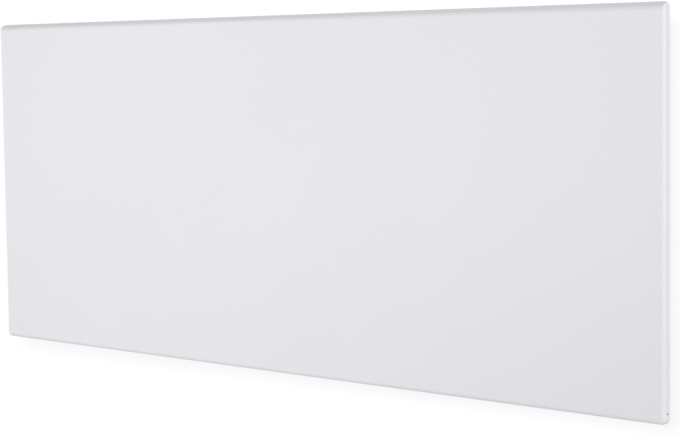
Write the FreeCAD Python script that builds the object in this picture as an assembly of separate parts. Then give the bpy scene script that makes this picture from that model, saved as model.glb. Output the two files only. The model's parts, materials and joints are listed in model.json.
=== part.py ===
import FreeCAD, Part
import math
import os

# Slim wall convector heater on a hook-on wall bracket. Millimetres, +Z up.
# The wall is the plane Y = 0 and the heater's front faces -Y.
# The origin is the centre of the four wall-screw holes, on the wall.

# Casing
PANEL_WIDTH = 1000.0
PANEL_HEIGHT = 400.0
CASE_DEPTH = 35.0
WALL_GAP = 20.0

# Front panel: a shallow steel tray with a lip for the rear cover
PANEL_SHEET = 1.2
RETURN_DEPTH = 11.0
EDGE_RADIUS = 4.5
SHOULDER_DROP = 5.2
SHOULDER_DEPTH = 8.0
SHOULDER_BEND = 6.0
SHOULDER_CREST = 3.0
CORNER_RADIUS = 5.5
RETURN_RADIUS = 1.8
HANG_HOLE_RADIUS = 1.1
HANG_HOLE_RISE = 10.4
HANG_HOLE_SETBACK = 1.4

# Stiffeners behind the panel's face
STIFFENER_LENGTH = 760.0
STIFFENER_SHEET = 0.8
STIFFENER_HEIGHT = 7.0
STIFFENER_CROWN = 30.0
STIFFENER_FOOT = 10.0
STIFFENER_DROP = 85.0
STIFFENER_PITCH = 100.0

# Rear cover: a steel pan with a flat rim
COVER_SHEET = 0.8
RIM_SETBACK = 3.0
RIM_SIDE = 24.0
RIM_END = 11.0
COVER_CORNER_RADIUS = 6.0
COVER_BEND_RADIUS = 1.5
BEAD_HEIGHT = 1.5
BEAD_WIDTH = 14.0
BEAD_LENGTH = 360.0
BEAD_PITCH = 60.0
BEAD_Z = -20.0
BEAD_COUNT = 3

# Screws
SCREW_RADIUS = 1.5
SCREW_HEAD_RADIUS = 2.75
SCREW_HEAD_HEIGHT = 1.8
SCREW_HEAD_ROUND = 0.6
SCREW_TIP = 2.5
SCREW_FIT = 0.05
RECESS_WIDTH = 0.8
RECESS_LENGTH = 3.2
RECESS_DEPTH = 0.9
RIM_SCREW_PITCH = 290.0
RIM_SCREW_INSET = 40.0

# Air grilles
GRILLE_OPENING = 17.0
GRILLE_LIP = 1.5
GRILLE_PLATE = 1.5
GRILLE_DEPTH = 6.0
GRILLE_SLOT = 5.0
GRILLE_BAR = 3.0
GRILLE_RIB = 2.0
GRILLE_END = 6.0
GRILLE_INSET = 18.0
GRILLE_GAP = 14.0
GRILLE_FIT = 0.3

# Controls
FASCIA_DEPTH = 20.0
FASCIA_PLATE = 2.0
FASCIA_EAR = 8.0
FASCIA_INSET = 10.0
FASCIA_CORNER = 2.0
CONTROL_GAP = 3.0
HOUSING_DEPTH = 17.0
HOUSING_HEIGHT = 40.0
HOUSING_WALL = 1.2
HOUSING_LEDGE = 1.5
HOUSING_FIT = 0.5
BOARD_SHEET = 1.6
BOARD_DROP = 13.4
BOARD_FIT = 0.2
BUTTON_WIDTH = 8.0
BUTTON_LENGTH = 12.0
BUTTON_PROUD = 1.0
BUTTON_TRAVEL = 0.8
BUTTON_FIT = 0.3
BUTTON_FLANGE = 0.8
BUTTON_FLANGE_SHEET = 1.2
BUTTON_STEM = 4.0
BUTTON_ROUND = 0.6
BUTTON_SPACING = 3.0
BUTTON_REST = 0.05
SIGN_LENGTH = 4.0
SIGN_WIDTH = 0.8
SIGN_DEPTH = 0.3
TACT_SIZE = 6.0
TACT_BODY = 3.6
TACT_PLUNGER = 1.4
TACT_PLUNGER_RADIUS = 1.6
TACT_GAP = 0.1
WINDOW_WIDTH = 30.0
WINDOW_LENGTH = 12.0
WINDOW_SHEET = 1.0
WINDOW_LEDGE = 1.0
WINDOW_FIT = 0.1
DISPLAY_MARGIN = 1.5
DISPLAY_GAP = 0.3
LIGHT_RADIUS = 1.5
LIGHT_PROUD = 0.4
LIGHT_FIT = 0.1
LIGHT_BASE_RADIUS = 2.2
LIGHT_BASE = 3.0
ROCKER_FLANGE = 0.8
ROCKER_FLANGE_SHEET = 1.2
ROCKER_FRAME_WALL = 1.0
ROCKER_FRAME_FIT = 0.2
ROCKER_WIDTH = 17.0
ROCKER_LENGTH = 10.4
ROCKER_END_GAP = 0.7
ROCKER_SIDE_GAP = 0.3
ROCKER_SINK = 2.0
ROCKER_ABOVE = 4.6
ROCKER_WAIST = 3.2
ROCKER_BELOW = 3.0
ROCKER_TILT = 8.0
PIVOT_RADIUS = 1.4
PIVOT_FIT = 0.05
PIVOT_REACH = 0.8
RELAY_WIDTH = 19.0
RELAY_DEPTH = 10.0
RELAY_HEIGHT = 10.0

# Wiring
LEAD_RADIUS = 1.3
SENSOR_LEAD_RADIUS = 0.9
LEAD_BEND = 14.0
LEAD_FIT = 0.1
POLE_PITCH = 10.0
CONNECTOR_DEPTH = 12.0
CONNECTOR_HEIGHT = 12.0
CONNECTOR_END = 8.0
PIN_RADIUS = 0.6
PIN_FIT = 0.2
BLOCK_RISE = 51.0
BLOCK_HEIGHT = 20.0
BLOCK_DEPTH = 17.0
BLOCK_END = 6.0
BLOCK_SCREW_RADIUS = 2.2
BLOCK_SCREW_LENGTH = 5.0
BLOCK_SCREW_SUNK = 1.0
BLOCK_SCREW_FIT = 0.05
STUD_RADIUS = 2.0
STUD_LENGTH = 11.0
STUD_RISE = 65.0
STUD_OFFSET = 20.0
NUT_FLATS = 7.0
NUT_HEIGHT = 3.2
TAG_RADIUS = 4.0
TAG_SHEET = 1.0
TAG_STANDOFF = 2.0
BARREL_RADIUS = 2.0
BARREL_REACH = 11.0
GLAND_BORE_RADIUS = 3.6
GLAND_THREAD_RADIUS = 6.0
GLAND_FLATS = 16.0
GLAND_FLANGE = 5.0
GLAND_DOME = 4.0
GLAND_DOME_RADIUS = 6.6
GLAND_INSIDE = 8.0
GLAND_FIT = 0.1
GLAND_NUT_HEIGHT = 4.0
CLIP_WIDTH = 8.0
CLIP_WALL = 1.6
CLIP_COUNT = 3
COMB_HEIGHT = 6.0
COMB_DROP = 45.0
RETURN_LEAD_OFFSET = 3.6
BRACKET_HOLE_RADIUS = 3.0
SENSOR_RADIUS = 2.5
SENSOR_LENGTH = 16.0
SENSOR_RISE = 26.0
SENSOR_LEAD_RUN = 28.0
SENSOR_CLIP_WALL = 1.5
SENSOR_CLIP_WIDTH = 7.0
SENSOR_FIT = 0.05
COLUMN_TURN = 17.0

# Heating element
ELEMENT_RISE = 96.0
FIN_HALF_HEIGHT = 35.0
FIN_HALF_DEPTH = 10.0
FIN_SHEET = 1.8
FIN_INSET_LEFT = 45.0
FIN_INSET_RIGHT = 64.0
FIN_SLIT = 1.6
FIN_SLIT_PITCH = 12.0
FIN_SLIT_ROOT = 14.0
HUB_RADIUS = 7.5
ROD_RADIUS = 4.0
ROD_FIT = 0.05
ROD_OVERHANG = 22.0
BRACKET_SHEET = 1.2
BRACKET_SPACE = 12.0
BRACKET_HALF_HEIGHT = 30.0
BRACKET_REACH = 10.0
BRACKET_FOOT = 14.0
BRACKET_SCREW_PITCH = 40.0
BUSH_RADIUS = 6.0
BUSH_FLANGE_RADIUS = 8.0
BUSH_FLANGE = 3.0
BUSH_TAIL = 4.0
BUSH_FIT = 0.1
SHIELD_SHEET = 0.5
SHIELD_STANDOFF = 7.7
SHIELD_FOOT = 10.0
SHIELD_SLOT_GAP = 4.0
CUTOUT_OFFSET = 30.0
CUTOUT_RISE = 85.0
CUTOUT_RADIUS = 8.0
CUTOUT_HEIGHT = 8.0
CUTOUT_SLEEVE_REACH = 14.0
CUTOUT_SLEEVE_LENGTH = 7.0
CUTOUT_SLEEVE_WIDTH = 5.0
CUTOUT_SLEEVE_HEIGHT = 3.4
CUTOUT_WEB_WIDTH = 18.0
CUTOUT_WEB_MARGIN = 1.0

# Wall bracket
WALL_HOLE_SPACING_X = 500.0
WALL_HOLE_SPACING_Z = 240.0
WALL_HOLE_RADIUS = 2.75
UPRIGHT_SHEET = 1.5
UPRIGHT_WIDTH = 40.0
UPRIGHT_DEPTH = 17.0
UPRIGHT_TOP = 30.0
UPRIGHT_BOTTOM = 15.0
HOOK_DROP = 76.0
HOOK_NECK = 12.0
HOOK_EAR = 12.0
HOOK_EAR_DEPTH = 4.0
HOOK_CHAMFER = 1.5
HOOK_CLEARANCE = 0.5
HOOK_SLOT_WIDTH = 4.0
LIFT = 14.0
LIFT_SPARE = 1.0
CROSSBAR_HEIGHT = 30.0
CROSSBAR_DEPTH = 8.0
CROSSBAR_STANDOFF = 2.0
CROSSBAR_Z = 40.0
RIVET_RADIUS = 2.0
RIVET_HEAD_RADIUS = 3.0
RIVET_HEAD = 1.2
RIVET_PITCH = 14.0
RIVET_FIT = 0.05

# Quarter-turn locks at the bracket's lower end
LOCK_RISE = 36.0
SHAFT_RADIUS = 4.0
SHAFT_FIT = 0.05
SHAFT_TAIL = 1.2
LEVER_LENGTH = 44.0
LEVER_WIDTH = 11.0
LEVER_SHEET = 2.0
LEVER_HUB_RADIUS = 9.0
LEVER_GAP = 0.4
BRIDGE_HALF_HEIGHT = 10.0
CAM_LENGTH = 22.0
CAM_WIDTH = 7.0
CAM_DEPTH = 4.0
CAM_GAP = 1.5
CAM_ROUND = 1.5
CAM_SQUARE = 5.0
CAM_FIT = 0.05
LOCK_SLOT_WIDTH = 9.6
LOCK_SLOT_SPARE = 1.0
LOCK_CLIP_RADIUS = 6.5
LOCK_CLIP_SHEET = 1.0
LOCK_CLIP_GROOVE = 1.0
LOCK_CLIP_FIT = 0.1
LOCK_CLIP_MOUTH = 4.0

# Rubber wall buffers
BUFFER_RADIUS = 8.0
BUFFER_STEM_RADIUS = 2.5
BUFFER_STEM = 3.0
BUFFER_FIT = 0.1
BUFFER_INSET = 43.0
BUFFER_RISE = 21.0
BUFFER_ROUND = 1.5

# Places worked out from the sizes above
SNAP = 1e-4
X = FreeCAD.Vector(1, 0, 0)
Y = FreeCAD.Vector(0, 1, 0)
Z = FreeCAD.Vector(0, 0, 1)

FRONT_Y = -(WALL_GAP + CASE_DEPTH)
PANEL_IN_Y = FRONT_Y + PANEL_SHEET
PANEL_BACK_Y = FRONT_Y + RETURN_DEPTH
RIM_BACK_Y = PANEL_BACK_Y + COVER_SHEET
COVER_BACK_Y = -WALL_GAP
COVER_IN_Y = COVER_BACK_Y - COVER_SHEET
MID_Y = (PANEL_BACK_Y + COVER_BACK_Y) / 2
COVER_HALF_X = PANEL_WIDTH / 2 - RIM_SETBACK - RIM_SIDE
COVER_HALF_Z = PANEL_HEIGHT / 2 - RIM_SETBACK - RIM_END
COVER_BOTTOM_Z = -COVER_HALF_Z

BUTTON_PITCH = BUTTON_WIDTH + BUTTON_SPACING
ROCKER_FRAME_WIDTH = ROCKER_WIDTH + 2 * (ROCKER_END_GAP + ROCKER_FRAME_WALL)
ROCKER_FRAME_LENGTH = ROCKER_LENGTH + 2 * (ROCKER_SIDE_GAP + ROCKER_FRAME_WALL)
HOUSING_X1 = COVER_HALF_X - FASCIA_INSET - FASCIA_EAR
ROCKER_X = HOUSING_X1 - HOUSING_WALL - CONTROL_GAP - ROCKER_FRAME_WIDTH / 2
LIGHT_X = ROCKER_X - ROCKER_FRAME_WIDTH / 2 - CONTROL_GAP - LIGHT_BASE_RADIUS
WINDOW_X = LIGHT_X - LIGHT_BASE_RADIUS - CONTROL_GAP - WINDOW_WIDTH / 2
MINUS_X = WINDOW_X - WINDOW_WIDTH / 2 - CONTROL_GAP - BUTTON_WIDTH / 2
PLUS_X = MINUS_X - BUTTON_PITCH
MODE_X = PLUS_X - BUTTON_PITCH
HOUSING_X0 = MODE_X - BUTTON_WIDTH / 2 - CONTROL_GAP - HOUSING_WALL
FASCIA_X0 = HOUSING_X0 - FASCIA_EAR
FASCIA_X1 = HOUSING_X1 + FASCIA_EAR
FASCIA_Z = COVER_HALF_Z
FASCIA_TOP_Z = FASCIA_Z + FASCIA_PLATE
BOARD_Z = FASCIA_Z - BOARD_DROP
HOUSING_BOTTOM_Z = FASCIA_Z - HOUSING_HEIGHT
CONNECTOR_BOTTOM_Z = HOUSING_BOTTOM_Z - CONNECTOR_HEIGHT
ROCKER_Z = FASCIA_TOP_Z - ROCKER_SINK

GRILLE_X0 = -COVER_HALF_X + GRILLE_INSET
GRILLE_X1 = FASCIA_X0 - GRILLE_GAP

LOCK_Z = COVER_BOTTOM_Z + LOCK_RISE
HOOK_Z = COVER_HALF_Z - HOOK_DROP
UPRIGHT_X = WALL_HOLE_SPACING_X / 2
UPRIGHT_Z0 = LOCK_Z - UPRIGHT_BOTTOM
UPRIGHT_Z1 = WALL_HOLE_SPACING_Z / 2 + UPRIGHT_TOP
HOOK_SLOT_Z0 = HOOK_Z - HOOK_NECK - LIFT - LIFT_SPARE
LOCK_SLOT_Z0 = LOCK_Z - CAM_LENGTH / 2 - LIFT - LIFT_SPARE
LOCK_SLOT_Z1 = LOCK_Z + SHAFT_RADIUS + LOCK_SLOT_SPARE
BRIDGE_BACK_Y = -UPRIGHT_DEPTH + UPRIGHT_SHEET
LEVER_BACK_Y = -UPRIGHT_DEPTH - LEVER_GAP
LEVER_FRONT_Y = LEVER_BACK_Y - LEVER_SHEET
CAM_BACK_Y = COVER_IN_Y - CAM_GAP
CAM_FRONT_Y = CAM_BACK_Y - CAM_DEPTH

SHIELD_Y = COVER_IN_Y - SHIELD_STANDOFF
SHIELD_Z0 = LOCK_SLOT_Z1 + SHIELD_SLOT_GAP + SHIELD_FOOT
SHIELD_Z1 = HOOK_SLOT_Z0 - SHIELD_SLOT_GAP - SHIELD_FOOT
ELEMENT_Y = (PANEL_IN_Y + SHIELD_Y) / 2
ELEMENT_Z = COVER_BOTTOM_Z + ELEMENT_RISE
FIN_X0 = -COVER_HALF_X + FIN_INSET_LEFT
FIN_X1 = HOUSING_X0 - FIN_INSET_RIGHT
ROD_X0 = FIN_X0 - ROD_OVERHANG
ROD_X1 = FIN_X1 + ROD_OVERHANG
TAG_MIDDLE = TAG_STANDOFF + TAG_SHEET / 2
TAG_X0 = ROD_X0 - TAG_MIDDLE
TAG_X1 = ROD_X1 + TAG_MIDDLE
CUTOUT_X = TAG_X1 + CUTOUT_OFFSET
CUTOUT_Z = ELEMENT_Z + CUTOUT_RISE
CUTOUT_WEB_Z = CUTOUT_Z - CUTOUT_HEIGHT / 2

POLE_COUNT = 4
POLE_X0 = CUTOUT_X + CUTOUT_SLEEVE_REACH + COLUMN_TURN
POLES = [POLE_X0 + POLE_PITCH * number for number in range(POLE_COUNT)]
OUTPUT_X, SENSOR_X, NEUTRAL_X, LIVE_X = POLES
EARTH_X = LIVE_X + POLE_PITCH
BLOCK_POLES = [NEUTRAL_X, LIVE_X, EARTH_X]
BLOCK_Z0 = COVER_BOTTOM_Z + BLOCK_RISE
BLOCK_Z1 = BLOCK_Z0 + BLOCK_HEIGHT
BLOCK_FRONT_Y = COVER_IN_Y - BLOCK_DEPTH
RETURN_Y = COVER_IN_Y - RETURN_LEAD_OFFSET
STUD_X = EARTH_X + STUD_OFFSET
STUD_Z = BLOCK_Z1 + STUD_RISE
STUD_TAG_Y = COVER_IN_Y - TAG_MIDDLE
SENSOR_Z = COVER_BOTTOM_Z + SENSOR_RISE
SENSOR_END_X = SENSOR_X - SENSOR_LEAD_RUN
COMB_Z = CONNECTOR_BOTTOM_Z - COMB_DROP
GLAND_X = LIVE_X


def point(x, y, z):
    return FreeCAD.Vector(x, y, z)


def block(x0, x1, y0, y1, z0, z1):
    """Box between two corners, given in any order."""
    low = point(min(x0, x1), min(y0, y1), min(z0, z1))
    high = point(max(x0, x1), max(y0, y1), max(z0, z1))
    size = high - low
    return Part.makeBox(size.x, size.y, size.z, low)


def centred(x, y, width, depth, z0, z1):
    """Upright box about a vertical line."""
    return block(x - width / 2, x + width / 2, y - depth / 2, y + depth / 2, z0, z1)


def round_bar(radius, start, end):
    axis = end - start
    return Part.makeCylinder(radius, axis.Length, start, axis)


def hexagon_bar(flats, start, end):
    """Six-sided bar between two points, sized across its flats."""
    axis = end - start
    side = axis.cross(Z if abs(axis.z) < SNAP else X).normalize()
    sides = 6
    corner = side * (flats / 2 / math.cos(math.pi / sides))
    turns = [FreeCAD.Rotation(axis, 360 * number / sides) for number in range(sides + 1)]
    outline = Part.makePolygon([start + turn.multVec(corner) for turn in turns])
    return Part.Face(outline).extrude(axis)


def edges_along(shape, axis):
    """Straight edges that run along an axis."""
    picked = []
    for edge in shape.Edges:
        run = edge.Vertexes[-1].Point - edge.Vertexes[0].Point
        if abs(abs(run.dot(axis)) - edge.Length) < SNAP:
            picked.append(edge)
    return picked


def edges_at_y(shape, y):
    box_of = [(edge, edge.BoundBox) for edge in shape.Edges]
    return [edge for edge, box in box_of if abs(box.YMin - y) < SNAP and abs(box.YMax - y) < SNAP]


def edges_at_z(shape, z):
    box_of = [(edge, edge.BoundBox) for edge in shape.Edges]
    return [edge for edge, box in box_of if abs(box.ZMin - z) < SNAP and abs(box.ZMax - z) < SNAP]


def pan_block(half_x, half_z, front, back, corner, front_round=0, back_round=0):
    """Upright slab about the Y axis with rounded corners and, where asked, rounded face edges."""
    body = block(-half_x, half_x, front, back, -half_z, half_z)
    body = body.makeFillet(corner, edges_along(body, Y))
    if front_round:
        body = body.makeFillet(front_round, edges_at_y(body, front))
    if back_round:
        body = body.makeFillet(back_round, edges_at_y(body, back))
    return body


def shoulder_keep(half_x, inset):
    """Long bar whose section has the panel's sloped top shoulder, set in from the outer face by inset."""
    slope = math.hypot(SHOULDER_DROP, SHOULDER_DEPTH)
    reach = SHOULDER_DROP * SHOULDER_DEPTH + inset * slope
    drop = (reach - SHOULDER_DROP * inset) / SHOULDER_DEPTH
    depth = (reach - SHOULDER_DEPTH * inset) / SHOULDER_DROP
    front = FRONT_Y + inset
    top = PANEL_HEIGHT / 2 - inset
    foot = PANEL_HEIGHT / 2 - drop
    crest = FRONT_Y + depth
    corners = [(front, -PANEL_HEIGHT), (front, foot), (crest, top), (0, top), (0, -PANEL_HEIGHT)]
    ring = [point(-2 * half_x, y, z) for y, z in corners]
    bar = Part.Face(Part.makePolygon(ring + ring[:1])).extrude(X * (4 * half_x))
    crest_edge = [edge for edge in edges_along(bar, X) if abs(edge.BoundBox.YMax - crest) < SNAP]
    bar = bar.makeFillet(SHOULDER_CREST - inset, crest_edge)
    foot_edge = [edge for edge in edges_along(bar, X) if abs(edge.BoundBox.ZMax - foot) < SNAP]
    return bar.makeFillet(SHOULDER_BEND - inset, foot_edge)


def hat_section(x0, x1, middle_z, half_crown, foot, base_y, height, sheet):
    """Sheet folded to a hat across Z and run along X. A negative height stands towards -Y."""
    way = math.copysign(1, height)
    tall = abs(height)
    half = [
        (half_crown - sheet, tall - sheet),
        (half_crown - sheet, 0),
        (half_crown + foot, 0),
        (half_crown + foot, sheet),
        (half_crown, sheet),
        (half_crown, tall),
    ]
    corners = half + [(-across, up) for across, up in reversed(half)]
    ring = [point(x0, base_y + way * up, middle_z + across) for across, up in corners]
    return Part.Face(Part.makePolygon(ring + ring[:1])).extrude(X * (x1 - x0))


def screw(seat, inward, grip):
    """Pan-head screw with a cross recess: its head sits on seat and its shank goes inward."""
    top = seat - inward * SCREW_HEAD_HEIGHT
    head = round_bar(SCREW_HEAD_RADIUS, seat, top)
    rim = [edge for edge in head.Edges if edge.Closed and (edge.CenterOfMass - top).Length < SNAP]
    head = head.makeFillet(SCREW_HEAD_ROUND, rim)
    shank = round_bar(SCREW_RADIUS, seat, seat + inward * (grip + SCREW_TIP))
    across = inward.cross(X if abs(inward.x) < SNAP else Z)
    recess = []
    for along in (across, across.cross(inward)):
        beside = along.cross(inward)
        start = top - along * (RECESS_LENGTH / 2) - beside * (RECESS_WIDTH / 2)
        wire = [
            start,
            start + along * RECESS_LENGTH,
            start + along * RECESS_LENGTH + beside * RECESS_WIDTH,
            start + beside * RECESS_WIDTH,
            start,
        ]
        recess.append(Part.Face(Part.makePolygon(wire)).extrude(inward * RECESS_DEPTH))
    return head.fuse(shank).removeSplitter().cut(recess)


def screw_hole(seat, inward, grip):
    reach = inward * (grip + SCREW_TIP)
    return round_bar(SCREW_RADIUS + SCREW_FIT, seat - reach, seat + reach)


def lead(points, radius):
    """Round wire along straight runs joined by tangent arcs, each as large as its runs allow."""
    end_share = 0.8
    middle_share = 0.45
    last = len(points) - 1
    edges = []
    start = points[0]
    for number in range(1, last):
        corner = points[number]
        back = points[number - 1] - corner
        ahead = points[number + 1] - corner
        back_room = back.Length * (end_share if number == 1 else middle_share)
        ahead_room = ahead.Length * (end_share if number == last - 1 else middle_share)
        half_turn = (math.pi - back.getAngle(ahead)) / 2
        trim = min(LEAD_BEND * math.tan(half_turn), back_room, ahead_room)
        bend = trim / math.tan(half_turn)
        back.normalize()
        ahead.normalize()
        enter = corner + back * trim
        leave = corner + ahead * trim
        middle = corner + (back + ahead).normalize() * (bend / math.cos(half_turn) - bend)
        edges.append(Part.LineSegment(start, enter).toShape())
        edges.append(Part.Arc(enter, middle, leave).toShape())
        start = leave
    edges.append(Part.LineSegment(start, points[last]).toShape())
    ring = Part.Wire(Part.makeCircle(radius, points[0], points[1] - points[0]))
    return Part.Wire(edges).makePipeShell([ring], True, False)


def spread(half, pitch):
    """Evenly spaced places from -half to half, no further apart than a pitch."""
    gaps = math.ceil(2 * half / pitch)
    return [half * (2 * number / gaps - 1) for number in range(gaps + 1)]


def rim_screw_seats():
    """Seats of the screws that hold the rear cover's rim to the panel's lip."""
    side_x = COVER_HALF_X + RIM_SIDE / 2
    end_z = COVER_HALF_Z + RIM_END / 2
    across = COVER_HALF_X - RIM_SCREW_INSET
    upward = COVER_HALF_Z - 2 * RIM_SCREW_INSET
    places = [(x, z) for z in (-end_z, end_z) for x in spread(across, RIM_SCREW_PITCH)]
    places += [(x, z) for x in (-side_x, side_x) for z in spread(upward, RIM_SCREW_PITCH)]
    return [point(x, RIM_BACK_Y, z) for x, z in places]


def bracket_plate_x(side):
    """Face of an element bracket that looks at the fins."""
    return FIN_X1 + BRACKET_SPACE if side > 0 else FIN_X0 - BRACKET_SPACE


def chassis_screw_seats():
    """Seats, on the back of the rear cover, of the screws into the pieces inside it."""
    half_pitch = BRACKET_SCREW_PITCH / 2
    places = []
    for side in (-1, 1):
        foot_x = bracket_plate_x(side) + side * (BRACKET_SHEET + BRACKET_FOOT) / 2
        places += [(foot_x, ELEMENT_Z + rise) for rise in (-half_pitch, half_pitch)]
    places.append((CUTOUT_X, CUTOUT_WEB_Z - BRACKET_SHEET - BRACKET_FOOT / 2))
    block_ends = (BLOCK_POLES[0] - BLOCK_END / 2, BLOCK_POLES[-1] + BLOCK_END / 2)
    places += [(x, BLOCK_Z0 + BLOCK_HEIGHT / 2) for x in block_ends]
    return [point(x, COVER_BACK_Y, z) for x, z in places]


def hook_columns(side):
    """Middles of an upright's two flanges, which carry its hooks."""
    reach = (UPRIGHT_WIDTH - UPRIGHT_SHEET) / 2
    return [side * UPRIGHT_X - reach, side * UPRIGHT_X + reach]


def buffer_places():
    x = COVER_HALF_X - BUFFER_INSET
    z = COVER_BOTTOM_Z + BUFFER_RISE
    return [point(-x, COVER_BACK_Y, z), point(x, COVER_BACK_Y, z)]


def fascia_screw_seats():
    y = MID_Y
    ends = (FASCIA_X0 + FASCIA_EAR / 2, FASCIA_X1 - FASCIA_EAR / 2)
    return [point(x, y, FASCIA_TOP_Z) for x in ends]


# Casing

def make_front_panel():
    half_x = PANEL_WIDTH / 2
    half_z = PANEL_HEIGHT / 2
    sheet = PANEL_SHEET
    outer = pan_block(half_x, half_z, FRONT_Y, PANEL_BACK_Y, CORNER_RADIUS, EDGE_RADIUS, RETURN_RADIUS)
    outer = outer.common(shoulder_keep(half_x, 0))
    hollow = pan_block(half_x - sheet, half_z - sheet, PANEL_IN_Y, PANEL_BACK_Y - sheet,
                       CORNER_RADIUS - sheet, EDGE_RADIUS - sheet, RETURN_RADIUS - sheet)
    hollow = hollow.common(shoulder_keep(half_x, sheet))
    mouth = pan_block(COVER_HALF_X - COVER_SHEET, COVER_HALF_Z - COVER_SHEET,
                      PANEL_BACK_Y - 2 * sheet, PANEL_BACK_Y + sheet, COVER_CORNER_RADIUS - COVER_SHEET)
    hang_y = FRONT_Y + EDGE_RADIUS + HANG_HOLE_SETBACK
    hang_z = -half_z + HANG_HOLE_RISE
    cuts = [hollow, mouth]
    for side in (-1, 1):
        middle = point(side * half_x, hang_y, hang_z)
        cuts.append(round_bar(HANG_HOLE_RADIUS, middle - X * (2 * sheet), middle + X * (2 * sheet)))
    cuts += [screw_hole(seat, -Y, COVER_SHEET + sheet) for seat in rim_screw_seats()]
    return outer.cut(cuts)


def make_stiffener(number):
    z = PANEL_HEIGHT / 2 - STIFFENER_DROP - STIFFENER_PITCH * number
    half = STIFFENER_LENGTH / 2
    return hat_section(-half, half, z, STIFFENER_CROWN / 2, STIFFENER_FOOT,
                       PANEL_IN_Y, STIFFENER_HEIGHT, STIFFENER_SHEET)


def bead(z, shrink, back, front):
    """Long round-ended block for one stiffening bead of the rear cover."""
    half = BEAD_LENGTH / 2 - shrink
    width = BEAD_WIDTH / 2 - shrink
    body = block(-half, half, front, back, z - width, z + width)
    round_ends = width - SNAP
    return body.makeFillet(round_ends, edges_along(body, Y))


def cover_openings():
    """Holes and slots in the rear cover."""
    reach = 2 * COVER_SHEET
    low_y = MID_Y - GRILLE_OPENING / 2
    high_y = MID_Y + GRILLE_OPENING / 2
    cuts = []
    for wall in (-COVER_HALF_Z, COVER_HALF_Z):
        cuts.append(block(GRILLE_X0, GRILLE_X1, low_y, high_y, wall - reach, wall + reach))
    control_y = HOUSING_DEPTH / 2 + HOUSING_FIT
    cuts.append(block(HOUSING_X0 - HOUSING_FIT, HOUSING_X1 + HOUSING_FIT, MID_Y - control_y,
                      MID_Y + control_y, COVER_HALF_Z - reach, COVER_HALF_Z + reach))
    gland = point(GLAND_X, MID_Y, COVER_BOTTOM_Z)
    cuts.append(round_bar(GLAND_THREAD_RADIUS + GLAND_FIT, gland - Z * reach, gland + Z * reach))
    back = COVER_BACK_Y + reach
    front = COVER_BACK_Y - reach
    half_slot = HOOK_SLOT_WIDTH / 2
    half_lock = LOCK_SLOT_WIDTH / 2
    for side in (-1, 1):
        for x in hook_columns(side):
            cuts.append(block(x - half_slot, x + half_slot, front, back, HOOK_SLOT_Z0, HOOK_Z))
        lock_x = side * UPRIGHT_X
        cuts.append(block(lock_x - half_lock, lock_x + half_lock, front, back,
                          LOCK_SLOT_Z0, LOCK_SLOT_Z1))
    for place in buffer_places():
        cuts.append(round_bar(BUFFER_STEM_RADIUS + BUFFER_FIT, place - Y * reach, place + Y * reach))
    cuts += [screw_hole(seat, -Y, COVER_SHEET) for seat in rim_screw_seats()]
    cuts += [screw_hole(seat, -Y, COVER_SHEET) for seat in chassis_screw_seats()]
    cuts += [screw_hole(seat, -Z, FASCIA_PLATE) for seat in fascia_screw_seats()]
    return cuts


def make_rear_cover():
    sheet = COVER_SHEET
    shell = pan_block(COVER_HALF_X, COVER_HALF_Z, PANEL_BACK_Y, COVER_BACK_Y,
                      COVER_CORNER_RADIUS, 0, COVER_BEND_RADIUS)
    rim = pan_block(PANEL_WIDTH / 2 - RIM_SETBACK, PANEL_HEIGHT / 2 - RIM_SETBACK,
                    PANEL_BACK_Y, RIM_BACK_Y, CORNER_RADIUS - RIM_SETBACK)
    hollow = pan_block(COVER_HALF_X - sheet, COVER_HALF_Z - sheet, PANEL_BACK_Y - sheet, COVER_IN_Y,
                       COVER_CORNER_RADIUS - sheet, 0, COVER_BEND_RADIUS - sheet)
    beads = [BEAD_Z + BEAD_PITCH * (number - (BEAD_COUNT - 1) / 2) for number in range(BEAD_COUNT)]
    raised = [bead(z, 0, COVER_BACK_Y + BEAD_HEIGHT, COVER_IN_Y) for z in beads]
    pressed = [bead(z, sheet, COVER_IN_Y + BEAD_HEIGHT, COVER_IN_Y - sheet) for z in beads]
    body = shell.fuse([rim] + raised).removeSplitter()
    return body.cut([hollow] + pressed + cover_openings())


def make_grille(side):
    """Slotted air grille that drops into the top (side +1) or bottom (side -1) wall of the cover."""
    wall = side * COVER_HALF_Z
    outside = wall + side * GRILLE_PLATE
    inside = wall - side * GRILLE_DEPTH
    half = GRILLE_OPENING / 2
    plate = block(GRILLE_X0 - GRILLE_LIP, GRILLE_X1 + GRILLE_LIP, MID_Y - half - GRILLE_LIP,
                  MID_Y + half + GRILLE_LIP, wall, outside)
    body = block(GRILLE_X0 + GRILLE_FIT, GRILLE_X1 - GRILLE_FIT, MID_Y - half + GRILLE_FIT,
                 MID_Y + half - GRILLE_FIT, inside, outside)
    pitch = GRILLE_SLOT + GRILLE_BAR
    room = GRILLE_X1 - GRILLE_X0 - 2 * GRILLE_END
    count = int((room + GRILLE_BAR) / pitch)
    first = (GRILLE_X0 + GRILLE_X1 - count * pitch + GRILLE_BAR) / 2
    slot_half = half - GRILLE_RIB
    slots = []
    for number in range(count):
        x = first + number * pitch
        slots.append(block(x, x + GRILLE_SLOT, MID_Y - slot_half, MID_Y + slot_half,
                           inside - side, outside + side))
    return plate.fuse(body).removeSplitter().cut(slots)


def make_cover_screws():
    grip = COVER_SHEET + PANEL_SHEET
    return Part.makeCompound([screw(seat, -Y, grip) for seat in rim_screw_seats()])


def make_chassis_screws():
    grip = COVER_SHEET + BRACKET_SHEET
    return Part.makeCompound([screw(seat, -Y, grip) for seat in chassis_screw_seats()])


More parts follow.
